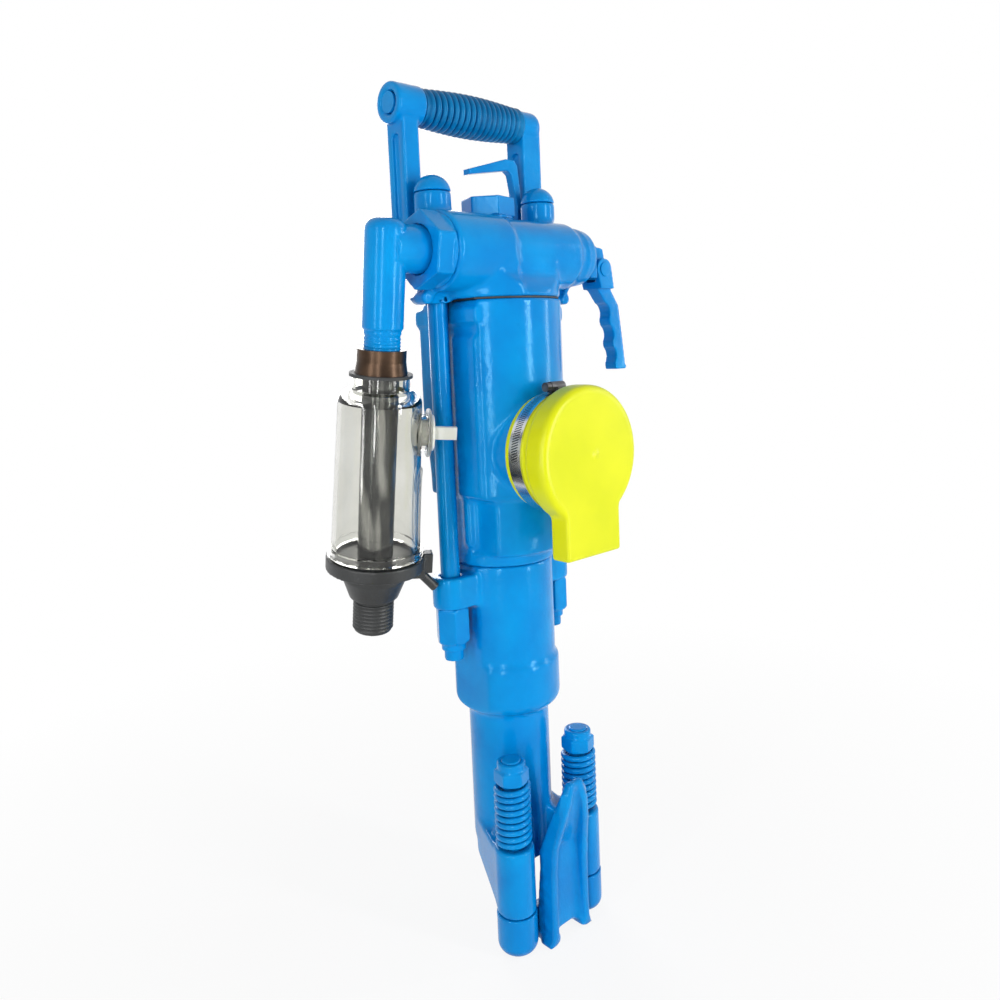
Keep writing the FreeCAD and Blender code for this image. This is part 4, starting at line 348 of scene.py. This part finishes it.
def set_bump(tree, shader, height, strength, distance):
    bump = add(tree, "ShaderNodeBump", {"Height": height, "Strength": strength, "Distance": distance})
    tree.links.new(bump.outputs["Normal"], shader.inputs["Normal"])


def set_sockets(shader, values):
    for label, value in values.items():
        shader.inputs[label].default_value = value


def lay_over(tree, shader, mask, colour):
    """Lays a colour over the base colour where a mask says."""
    base = shader.inputs["Base Color"].links[0].from_socket
    tree.links.new(blend_colours(tree, mask, base, colour), shader.inputs["Base Color"])


def enamel(name, skin, depth, roughness=0.12, corner_shade_amount=0.85, light=BLUE_LIGHT, base=BLUE):
    """Glossy enamel brushed thickly over metal, its corners darkened by painted shade with some dirt."""
    material, tree, shader = new_material(name)
    cast = use_group(tree, CAST_SKIN, skin)
    shade_grime = use_group(tree, CORNER_SHADE_AND_GRIME, {"Reach": 0.018, "Amount": corner_shade_amount})
    colour = blend_colours(tree, cast["Tone"], base, light)
    colour = blend_colours(tree, shade_grime["Mask"], colour, BLUE_CORNER_SHADE)
    tree.links.new(colour, shader.inputs["Base Color"])
    rough = scaled(tree, cast["Tone"], 0.08, roughness)
    tree.links.new(scaled(tree, shade_grime["Mask"], 0.35, rough), shader.inputs["Roughness"])
    set_bump(tree, shader, cast["Height"], 0.8, depth)
    set_sockets(shader, {"Specular IOR Level": 0.28, "Specular Tint": BLUE_SHEEN})
    return material


def moulded(name, base, shade, corner_shade, roughness, depth, grain=1400.0, extra=None):
    """Plastic or rubber from a mould, with its grain and slightly uneven colour."""
    material, tree, shader = new_material(name)
    skin = use_group(tree, MOULDED_GRAIN, {"Grain Scale": grain})
    # Hollow corners are darkened with painted shade and some dirt, found by ambient occlusion
    shade_grime = use_group(tree, CORNER_SHADE_AND_GRIME, {"Reach": 0.008, "Amount": 0.35})
    colour = blend_colours(tree, skin["Tone"], shade, base)
    colour = blend_colours(tree, shade_grime["Mask"], colour, corner_shade)
    tree.links.new(colour, shader.inputs["Base Color"])
    tree.links.new(scaled(tree, skin["Tone"], 0.08, roughness), shader.inputs["Roughness"])
    set_bump(tree, shader, skin["Height"], 0.5, depth)
    set_sockets(shader, extra or {})
    return material


def metal(name, base, shade, roughness, fineness=900.0):
    """Bare metal with tool marks and oily stains."""
    material, tree, shader = new_material(name)
    marks = use_group(tree, TURNED_MARKS, {"Fineness": fineness})
    tree.links.new(blend_colours(tree, marks["Tone"], shade, base), shader.inputs["Base Color"])
    tree.links.new(scaled(tree, marks["Tone"], 0.12, roughness), shader.inputs["Roughness"])
    set_bump(tree, shader, marks["Height"], 0.3, 0.00006)
    set_sockets(shader, {"Metallic": 1.0})
    return material, tree, shader


def oiled_tube_steel():
    """Black oily steel with paler stripes along the tube, partly left by wiping and partly painted reflection
    streaks.
    """
    material, tree, shader = metal("oiled_tube_steel", OILED, OILED_DARK, 0.14, 260.0)
    lay_over(tree, shader, use_group(tree, WIPED_AND_SHEEN_STRIPES)["Stripe"], WIPED_SHEEN)
    return material


def clamp_band_steel():
    """Bright stainless strip with its row of punched slots."""
    material, tree, shader = metal("clamp_band_steel", STAINLESS, STAINLESS_DARK, 0.16, 500.0)
    slot = use_group(tree, CLAMP_SLOTS)["Slot"]
    # The slots are painted dark, as the shade seen inside them
    lay_over(tree, shader, slot, SLOT_SHADE)
    set_bump(tree, shader, maths(tree, "SUBTRACT", 1.0, slot), 0.6, 0.0006)
    return material


def clear_plastic(name, roughness):
    """Clear moulded plastic with a faint ripple and a grey film of oil."""
    material, tree, shader = new_material(name)
    skin = use_group(tree, MOULDED_GRAIN, {"Grain Scale": 90.0, "Cloud": 1.0})
    tree.links.new(blend_colours(tree, skin["Tone"], CLEAR_OILED, CLEAR), shader.inputs["Base Color"])
    set_bump(tree, shader, skin["Height"], 0.35, 0.0002)
    set_sockets(shader, {"Transmission Weight": 1.0, "IOR": 1.40, "Roughness": roughness})
    return material


CAST_SKIN_INPUTS = {"Grain Scale": 420.0, "Swell": 0.38, "Grain": 0.13, "Pits": 0.05}
SMOOTH_SKIN_INPUTS = {"Grain Scale": 600.0, "Swell": 0.35, "Grain": 0.10, "Pits": 0.03}
SLEEVE_SKIN_INPUTS = {"Grain Scale": 500.0, "Swell": 0.3, "Grain": 0.1, "Pits": 0.05}
CAST_BLUE = enamel("cast_blue_enamel", CAST_SKIN_INPUTS, 0.0010)
SMOOTH_BLUE = enamel("smooth_blue_enamel", SMOOTH_SKIN_INPUTS, 0.0006)
SLEEVE_BLUE = enamel("sleeve_blue_enamel", SLEEVE_SKIN_INPUTS, 0.0005, roughness=0.18, corner_shade_amount=1.0,
                     light=SLEEVE, base=SLEEVE_DEEP)
YELLOW_CAP = moulded("yellow_cap_rubber", YELLOW, YELLOW_DEEP, YELLOW_CORNER_SHADE, 0.30, 0.0001, 900.0,
                     {"Specular IOR Level": 0.35})
BLACK_RUBBER = moulded("black_gasket_rubber", GREY, BLACK, BLACK, 0.50, 0.0002)
BLACK_PLASTIC = moulded("black_base_plastic", GREY, BLACK, BLACK, 0.36, 0.0003, 700.0)
WHITE_PLASTIC = moulded("white_plug_plastic", WHITE, WHITE_DEEP, WHITE_DEEP, 0.32, 0.00012, 1400.0,
                        {"Subsurface Weight": 0.25, "Subsurface Radius": (0.004, 0.004, 0.003),
                         "Subsurface Scale": 1.0})
CLEAR_PLASTIC = clear_plastic("clear_cup_plastic", 0.04)
FROSTED_PLASTIC = clear_plastic("frosted_washer_plastic", 0.45)
BROWN_STEEL, *_ = metal("oily_brown_steel", BROWN, BROWN_DARK, 0.26, 300.0)
OILED_STEEL = oiled_tube_steel()
DARK_STEEL, *_ = metal("dark_screw_steel", STEEL_DARK, BROWN_DARK, 0.30)
BRIGHT_STEEL, *_ = metal("bright_tube_steel", STEEL, STEEL_DARK, 0.18)
MACHINED_STEEL, *_ = metal("machined_steel", STEEL, STEEL_DARK, 0.30, 1200.0)
BRONZE_METAL, *_ = metal("machined_bronze", BRONZE, BRONZE_DARK, 0.30, 1200.0)
CLAMP_STEEL = clamp_band_steel()

FINISHES = {
    "blue_paint": SMOOTH_BLUE,
    "blue_rubber": SLEEVE_BLUE,
    "yellow_rubber": YELLOW_CAP,
    "black_rubber": BLACK_RUBBER,
    "stainless": BRIGHT_STEEL,
    "clear_plastic": CLEAR_PLASTIC,
    "white_plastic": WHITE_PLASTIC,
    "black_plastic": BLACK_PLASTIC,
    "brown_steel": BROWN_STEEL,
    "machined_steel": MACHINED_STEEL,
    "bronze": BRONZE_METAL,
}

OWN_FINISHES = {
    "hose_clamp": CLAMP_STEEL,
    "oil_tube": OILED_STEEL,
    "clamp_screw": DARK_STEEL,
    "plug_washer": SMOOTH_BLUE,
}


def finish_nodes():
    """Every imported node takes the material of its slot, or the one kept for it alone."""
    for part in frame["record"]["subparts"]:
        node = part["node"]
        materials = frame["nodes"][node].data.materials
        materials.clear()
        materials.append(OWN_FINISHES.get(node, FINISHES[part["material_slot"]]))


def new_piece(name, mesh, material, slot, body, *nodes):
    """A piece with its finish that rides on a body and stands for the nodes that it names."""
    piece = bpy.data.objects.new(name, mesh)
    scene.collection.objects.link(piece)
    mesh.materials.clear()
    mesh.materials.append(material)
    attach(piece, body)
    if nodes:
        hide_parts(*nodes)
    return piece


def shade_smooth(mesh):
    mesh.polygons.foreach_set("use_smooth", [True] * len(mesh.polygons))


def body_of_node(node):
    for body, nodes in frame["record"]["behaviour"]["bodies"].items():
        if node in nodes:
            return body
    raise KeyError(node)


def slot_of_node(node):
    return next(p["material_slot"] for p in frame["record"]["subparts"] if p["node"] == node)


def brick(low, high):
    """A box as a mesh, from its lowest corner to its highest, in millimetres."""
    shape = bmesh.new()
    bmesh.ops.create_cube(shape, size=1.0)
    for vert in shape.verts:
        vert.co = Vector([(a + (c + 0.5) * (b - a)) * MM for a, b, c in zip(low, high, vert.co)])
    return shape


def loft(stations):
    """A solid through rectangles at rising levels, in millimetres.

    Each station is (level, X low, X high, Y low, Y high).
    """
    shape = bmesh.new()
    rings = []
    for level, left, right, front, back in stations:
        corners = ((left, front), (right, front), (right, back), (left, back))
        rings.append([shape.verts.new((x * MM, y * MM, level * MM)) for x, y in corners])
    for lower, upper in zip(rings, rings[1:]):
        for i in range(4):
            shape.faces.new((lower[i], lower[i - 1], upper[i - 1], upper[i]))
    shape.faces.new(rings[0])
    shape.faces.new(reversed(rings[-1]))
    return shape


def lathe(profile, steps=96, flats=None, turn=0.0):
    """A closed ring of (radius, height) points in millimetres, turned round Z.

    With flats, every radius is kept within a hexagon that wide across its flats.
    """
    shape = bmesh.new()
    side = math.pi / 3
    rings = []
    for i in range(steps):
        angle = math.tau * i / steps
        limit = math.inf
        if flats:
            limit = flats / 2 / math.cos((angle + side / 2) % side - side / 2)
        across, along = math.cos(angle + turn), math.sin(angle + turn)
        rings.append([shape.verts.new((min(r, limit) * across * MM, min(r, limit) * along * MM, h * MM))
                      for r, h in profile])
    for i, ring in enumerate(rings):
        following = rings[(i + 1) % steps]
        for j in range(len(profile)):
            k = (j + 1) % len(profile)
            shape.faces.new((ring[j], following[j], following[k], ring[k]))
    return shape


def to_mesh(shape, name, matrix=None):
    if matrix:
        bmesh.ops.transform(shape, matrix=matrix, verts=shape.verts)
    bmesh.ops.recalc_face_normals(shape, faces=shape.faces)
    mesh = bpy.data.meshes.new(name)
    shape.to_mesh(mesh)
    shape.free()
    shade_smooth(mesh)
    return mesh


def baked(piece, modifiers):
    """The mesh of a temporary object after its modifiers."""
    for kind, settings in modifiers:
        made = piece.modifiers.new(kind.lower(), kind)
        for name, value in settings.items():
            setattr(made, name, value)
    mesh = bpy.data.meshes.new_from_object(piece.evaluated_get(bpy.context.evaluated_depsgraph_get()))
    bpy.data.objects.remove(piece)
    return mesh


def rounded(name, shape, voxel, passes, fillet=0.0, added=(), cuts=()):
    """A shape with the soft edges of cast metal under thick enamel, and filled inner corners."""
    base = bpy.data.objects.new(name, to_mesh(shape, name))
    scene.collection.objects.link(base)
    modifiers = []
    tools = []
    for kind, group in (("DIFFERENCE", cuts), ("UNION", added)):
        for number, extra in enumerate(group):
            tool = bpy.data.objects.new("%s_%s_%d" % (name, kind.lower(), number), to_mesh(extra, "tool"))
            scene.collection.objects.link(tool)
            tools.append(tool)
            modifiers.append(("BOOLEAN", {"operation": kind, "object": tool, "solver": "EXACT"}))
    skin = ("REMESH", {"mode": "VOXEL", "voxel_size": voxel * MM, "use_smooth_shade": True})
    modifiers.append(skin)
    if fillet:
        modifiers.append(("DISPLACE", {"strength": fillet * MM, "mid_level": 0.0}))
        modifiers.append(skin)
        modifiers.append(("DISPLACE", {"strength": -fillet * MM, "mid_level": 0.0}))
        modifiers.append(skin)
    modifiers.append(("SMOOTH", {"factor": 0.5, "iterations": passes}))
    mesh = baked(base, modifiers)
    for tool in tools:
        bpy.data.objects.remove(tool)
    mesh.name = name
    return mesh


def thick_paint(node, voxel, passes, material=None, fillet=0.0, added=(), cuts=()):
    """A node as it looks under its paint, in place of the plain solid, with voxel and fillet in millimetres."""
    shape = bmesh.new()
    shape.from_mesh(frame["nodes"][node].data)
    bmesh.ops.remove_doubles(shape, verts=shape.verts, dist=1e-6)
    name = node + "_painted"
    mesh = rounded(name, shape, voxel, passes, fillet, added, cuts)
    return new_piece(name, mesh, material or CAST_BLUE, slot_of_node(node), body_of_node(node), node)


def wire(name, points, radius, closed=False):
    """A round wire through points in millimetres, as a mesh."""
    curve = bpy.data.curves.new(name, "CURVE")
    curve.dimensions = "3D"
    curve.bevel_depth = radius * MM
    curve.bevel_resolution = 4
    curve.use_fill_caps = True
    line = curve.splines.new("POLY")
    line.points.add(len(points) - 1)
    for point, place in zip(line.points, points):
        point.co = (*(Vector(place) * MM), 1)
    line.use_cyclic_u = closed
    holder = bpy.data.objects.new(name, curve)
    scene.collection.objects.link(holder)
    mesh = bpy.data.meshes.new_from_object(holder)
    bpy.data.objects.remove(holder)
    shade_smooth(mesh)
    return mesh


def spring_line(out):
    """Points along the wire of a compression spring, whose first and last turns are closed."""
    per_turn = 28
    closed = SPRING_WIRE * 2 + 0.3
    open_turns = SPRING_TURNS - 2
    free = (SPRING_HIGH - SPRING_LOW - SPRING_WIRE * 2 - closed * 2) / open_turns
    points = []
    for i in range(SPRING_TURNS * per_turn + 1):
        turn = i / per_turn
        end_turns = min(turn, 1) + max(turn - SPRING_TURNS + 1, 0)
        rise = end_turns * closed + free * min(max(turn - 1, 0), open_turns)
        angle = math.tau * turn
        points.append((out + SPRING_MEAN * math.cos(angle), SIDE_FRONT + SPRING_MEAN * math.sin(angle),
                       SPRING_LOW + SPRING_WIRE + rise))
    return points


def make_springs():
    """The retainer's two coil springs."""
    for side, out in (("left", -SIDE_OUT), ("right", SIDE_OUT)):
        mesh = wire(side + "_spring", spring_line(out), SPRING_WIRE)
        nodes = ("retainer_springs",) if side == "left" else ()
        spring = new_piece(side + "_spring", mesh, SMOOTH_BLUE, "blue_paint", "frame", *nodes)
        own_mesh(spring)


def make_grip_sleeve():
    """Ribbed rubber sleeve on the grip rod, with a plain cuff at each end."""
    start, end = -43.8, 50.6
    bore = 7.6
    ribs = 17
    rib_points = 8
    rib_radius = 13.4
    rib_depth = 2.7
    swell = 2.2
    cuff = 4.0
    cuff_edge = [(12.4, 0), (13.2, 0.4), (13.5, 1.2)]
    step = (end - start - cuff * 2) / ribs
    outer = [(radius, start + inward) for radius, inward in cuff_edge]
    for i in range(ribs):
        middle = (i + 0.5) / ribs
        crown = rib_radius + swell * math.sin(math.pi * middle)
        left = start + cuff + step * i
        for j in range(rib_points + 1):
            share = j / rib_points
            dip = rib_depth * (1 - math.sin(math.pi * share) ** 0.8)
            outer.append((crown - dip, left + step * share))
    outer += [(radius, end - inward) for radius, inward in reversed(cuff_edge)]
    profile = outer + [(bore, end), (bore, start)]
    shape = along_x(lathe(profile, 128), GRIP_BACK, GRIP_LEVEL)
    mesh = to_mesh(shape, "grip_sleeve_ribbed")
    new_piece("grip_sleeve_ribbed", mesh, SLEEVE_BLUE, "blue_rubber", "frame", "grip_sleeve")


def along_x(shape, front, level):
    """Lays a turned shape from the Z axis to a line along X."""
    move = Matrix.Translation(Vector((0, front, level)) * MM) @ Matrix.Rotation(math.pi / 2, 4, "Y")
    bmesh.ops.transform(shape, matrix=move, verts=shape.verts)
    return shape


def turned(shape, degrees, axis):
    bmesh.ops.transform(shape, matrix=Matrix.Rotation(math.radians(degrees), 4, axis), verts=shape.verts)
    return shape


def moved(shape, out, front, level=0.0):
    bmesh.ops.translate(shape, vec=Vector((out, front, level)) * MM, verts=shape.verts)
    return shape


def peg(radius, low, high, crown):
    """A small round peg, with a low crown on its top where that is asked."""
    outline = [(AXIS_GAP, low), (radius, low), (radius, high), (AXIS_GAP, high)]
    if crown:
        outline[-1:] = [(radius * 0.45, high + crown), (AXIS_GAP, high + crown)]
    return lathe(outline, 24)


def make_castings():
    """Sand-cast bodies with filled corners, and the smaller forged and moulded pieces."""
    make_back_head()
    thick_paint("cylinder", 1.1, 8, fillet=2.5)
    mark_low, mark_high = (-7, -47, 143.4), (7, -42.6, 145.4)
    mark = turned(brick(mark_low, mark_high), -27, "Z")
    thick_paint("front_head", 1.1, 8, fillet=2.5, cuts=[mark])
    thick_paint("left_handle_arm", 0.8, 8)
    hole = turned(peg(2.2, 8, 14, 0), -90, "X")
    thick_paint("right_handle_arm", 0.8, 8, cuts=[moved(hole, 58.5, 0, 503)])
    make_retainer()
    thick_paint("throttle_lever", 0.7, 8)
    thick_paint("trigger", 0.5, 8)
    nub = turned(peg(2.0, 93, 95.0, 0.6), 90, "X")
    thick_paint("muffler", 0.9, 9, YELLOW_CAP, fillet=2.0, added=[moved(nub, 3, 0, PORT_LEVEL)])


def make_back_head():
    """Back casting with a step at the barrel's right end and a waist below its front."""
    inner, outer = 21.8, 30
    start, end = 55, 65.4
    step_outline = [(inner, start), (outer, start), (outer, end), (inner, end)]
    step = along_x(lathe(step_outline), BARREL_FRONT, BARREL_LEVEL)
    hollow_front = -62
    middle, side = -12.5, 50
    right_deeper = 1.9
    hollows = []
    for left, right, deeper in ((-side, middle, 0), (middle, side, right_deeper)):
        hollows.append(loft([(level, left, right, hollow_front, front + deeper) for level, front in WAIST]))
    thick_paint("back_head", 1.0, 10, fillet=3.0, cuts=[step, *hollows])


def make_retainer():
    """Cast tongue with a hollow face between two flanges that spread to its claws."""
    face_front = -85
    face = loft([(level, -half, half, face_front, back) for level, half, back in RETAINER_FACE])
    flanges = []
    for side in (-1, 1):
        stations = []
        for level, middle, half, front, back in RETAINER_FLANGE:
            ends = sorted((side * (middle - half), side * (middle + half)))
            stations.append((level, *ends, front, back))
        flanges.append(loft(stations))
    thick_paint("retainer", 0.9, 16, fillet=3.0, cuts=[face], added=flanges)


def make_hardware():
    """Bolts, plugs, nuts and pipes under their coat of paint."""
    for node, voxel, passes in (("tie_bolts", 0.8, 4), ("rear_plug", 0.6, 4), ("gland_nut", 0.8, 5),
                                ("retainer_bolts", 0.7, 5), ("throttle_valve", 0.7, 4), ("lever_pin", 0.5, 4),
                                ("inlet_elbow", 0.6, 3), ("retainer_pin", 0.5, 3)):
        thick_paint(node, voxel, passes, SMOOTH_BLUE)
    thick_paint("lubricator_base", 0.7, 4, BLACK_PLASTIC)


def make_nuts():
    """Chamfered hexagon nuts, with round collars over the retainer's springs and below the tie bolts."""
    low, high = (corner.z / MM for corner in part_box("retainer_nuts"))
    shoulder = high - 5.2
    collar = 10.2
    sprung = [(NUT_BORE, low), (11.2, low), (NUT_CORNER, low + 1.3), (NUT_CORNER, shoulder - 1.4),
              (collar, shoulder), (collar, high - 1.0), (9.3, high - 0.1), (NUT_BORE, high - 0.1)]
    make_nut_pair("retainer_nuts", sprung, SIDE_OUT, SIDE_FRONT, math.radians(-10))
    low, high = (corner.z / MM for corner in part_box("tie_bolt_nuts"))
    foot = low - 5.5
    collar = 8.8
    tied = [(NUT_BORE, foot), (collar, foot), (collar, low - 2.0), (9.4, low), (11.0, low),
            (NUT_CORNER, low + 2.2), (NUT_CORNER, high - 1.8), (11.4, high), (NUT_BORE, high)]
    make_nut_pair("tie_bolt_nuts", tied, TIE_OUT, 0, math.radians(30))


def make_nut_pair(node, profile, out, front, turn):
    """A nut on each side, of which the left one stands for the node of both."""
    for side, place in (("left", -out), ("right", out)):
        name = "%s_%s" % (side, node)
        mesh = rounded(name, moved(lathe(profile, 96, NUT_FLATS, turn), place, front), 0.45, 5)
        nodes = (node,) if side == "left" else ()
        new_piece(name, mesh, SMOOTH_BLUE, "blue_paint", body_of_node(node), *nodes)


def make_nipple_thread():
    """Threads of the lubricator's nipple, as rings with a steep side below and a slack one above."""
    low, high = -259.6, -238.8
    pitch = 2.6
    core, root, crest = 12.0, 13.0, 14.1
    turns = 8
    outline = []
    for i in range(turns):
        start = low + pitch * i
        outline += [(root - 0.1, start), (root, start + 0.3), (crest, start + 1.2), (crest, start + 1.6),
                    (root, start + 2.4)]
    thread = to_mesh(lathe(outline + [(core, high), (core, low)]), "nipple_thread", HANG)
    new_piece("nipple_thread", thread, BLACK_PLASTIC, "black_plastic", "lubricator")


def squarish(value):
    """A sine or cosine drawn out towards 1, for an oval with flatter sides."""
    return math.copysign(abs(value) ** 0.6, value)


def make_cup_window():
    """Raised bead round the window that is moulded in the cup's tapering wall."""
    points = 40
    half_turn = math.radians(17)
    middle, half_height = -172, 27
    wall, taper = 29.2, -0.013
    line = []
    for i in range(points):
        angle = math.tau * i / points
        around = FILLER_TURN + half_turn * squarish(math.cos(angle))
        level = middle + half_height * squarish(math.sin(angle))
        reach = wall + (level - middle) * taper
        place = Vector((reach * math.cos(around), reach * math.sin(around), level)) * MM
        line.append(HANG @ place / MM)
    bead = wire("cup_window_bead", line, 1.1, True)
    new_piece("cup_window_bead", bead, FROSTED_PLASTIC, "clear_plastic", "lubricator")


def make_filler_rings():
    """The washer under the filler plug's head and the ring at the foot of its boss."""
    washer = [(13.2, 31.6), (16.0, 31.6), (16.4, 32.2), (16.4, 33.2), (16.0, 33.8), (13.2, 33.8)]
    boss = [(12.7, 24.6), (15.6, 24.6), (16.2, 25.4), (15.6, 26.4), (12.7, 26.6)]
    for name, profile in (("filler_washer", washer), ("filler_boss_ring", boss)):
        mesh = to_mesh(lathe(profile), name, FILLER)
        new_piece(name, mesh, FROSTED_PLASTIC, "clear_plastic", "lubricator")


def light_panel(name, place, size, power):
    """A soft lamp that faces the middle of the drill."""
    lamp = bpy.data.lights.new(name, "AREA")
    lamp.shape = "RECTANGLE"
    lamp.size, lamp.size_y = size
    lamp.energy = power
    panel = bpy.data.objects.new(name, lamp)
    scene.collection.objects.link(panel)
    panel.location = place
    panel.rotation_euler = (LAMP_AIM - Vector(place)).to_track_quat("-Z", "Y").to_euler()


def seen_directly(tree):
    """1 for the rays that see the background itself, in a mirror and through glass too."""
    path = add(tree, "ShaderNodeLightPath").outputs
    seen = maths(tree, "MAXIMUM", path["Is Camera Ray"], path["Is Transmission Ray"])
    return maths(tree, "MAXIMUM", seen, path["Is Glossy Ray"])


def make_floor():
    """White floor just below the drill, brighter than its shadow where it is seen directly."""
    reach, foot, gap = 6000, -60, 0.2
    floor_mesh = bpy.data.meshes.new("floor")
    shape = brick((-reach, -reach, foot), (reach, reach, cad_box[0].z / MM - gap))
    shape.to_mesh(floor_mesh)
    shape.free()
    floor = bpy.data.objects.new("floor", floor_mesh)
    scene.collection.objects.link(floor)
    material, tree, shader = new_material("white_floor")
    set_sockets(shader, {"Base Color": (0.88, 0.88, 0.88, 1), "Roughness": 0.8})
    glow = add(tree, "ShaderNodeEmission", {"Color": (1, 1, 1, 1), "Strength": 1.0})
    place = add(tree, "ShaderNodeTexCoord").outputs["Object"]
    away = add(tree, "ShaderNodeVectorMath", {0: place}, operation="LENGTH").outputs["Value"]
    plain = scaled(tree, spread(tree, away, 0.2, 0.7), 0.12, 0.88)
    share = maths(tree, "MULTIPLY", seen_directly(tree), plain)
    mix = add(tree, "ShaderNodeMixShader", {"Fac": share, 1: shader.outputs[0], 2: glow.outputs[0]})
    tree.links.new(mix.outputs[0], tree.nodes["Material Output"].inputs["Surface"])
    floor_mesh.materials.append(material)


def make_room():
    """White surroundings, dimmer for what they light than where they are seen."""
    world = bpy.data.worlds.new("white_room")
    world.use_nodes = True
    scene.world = world
    tree = world.node_tree
    room = tree.nodes["Background"]
    room.inputs["Color"].default_value = (1, 1, 1, 1)
    dim = 0.22
    tree.links.new(scaled(tree, seen_directly(tree), 1 - dim, dim), room.inputs["Strength"])


def make_camera():
    camera = bpy.data.cameras.new("camera")
    camera.lens = CAMERA_LENS
    camera.sensor_fit = "HORIZONTAL"
    camera.shift_y = CAMERA_SHIFT
    camera.clip_start = 0.01
    holder = bpy.data.objects.new("camera", camera)
    scene.collection.objects.link(holder)
    flat = math.cos(CAMERA_PITCH)
    ahead = Vector((math.sin(CAMERA_YAW) * flat, math.cos(CAMERA_YAW) * flat, math.sin(CAMERA_PITCH)))
    aim = ahead.to_track_quat("-Z", "Y").to_matrix().to_4x4()
    roll = Matrix.Rotation(CAMERA_ROLL, 4, "Z")
    holder.matrix_world = Matrix.Translation(CAMERA_PLACE) @ aim @ roll
    scene.camera = holder


scene.view_settings.view_transform = "Standard"
finish_nodes()
make_castings()
make_hardware()
make_nuts()
make_nipple_thread()
make_cup_window()
make_filler_rings()
make_springs()
make_grip_sleeve()
make_floor()
make_room()
for lamp_name, lamp_place, lamp_size, lamp_power in LAMPS:
    light_panel(lamp_name, lamp_place, lamp_size, lamp_power)
make_camera()
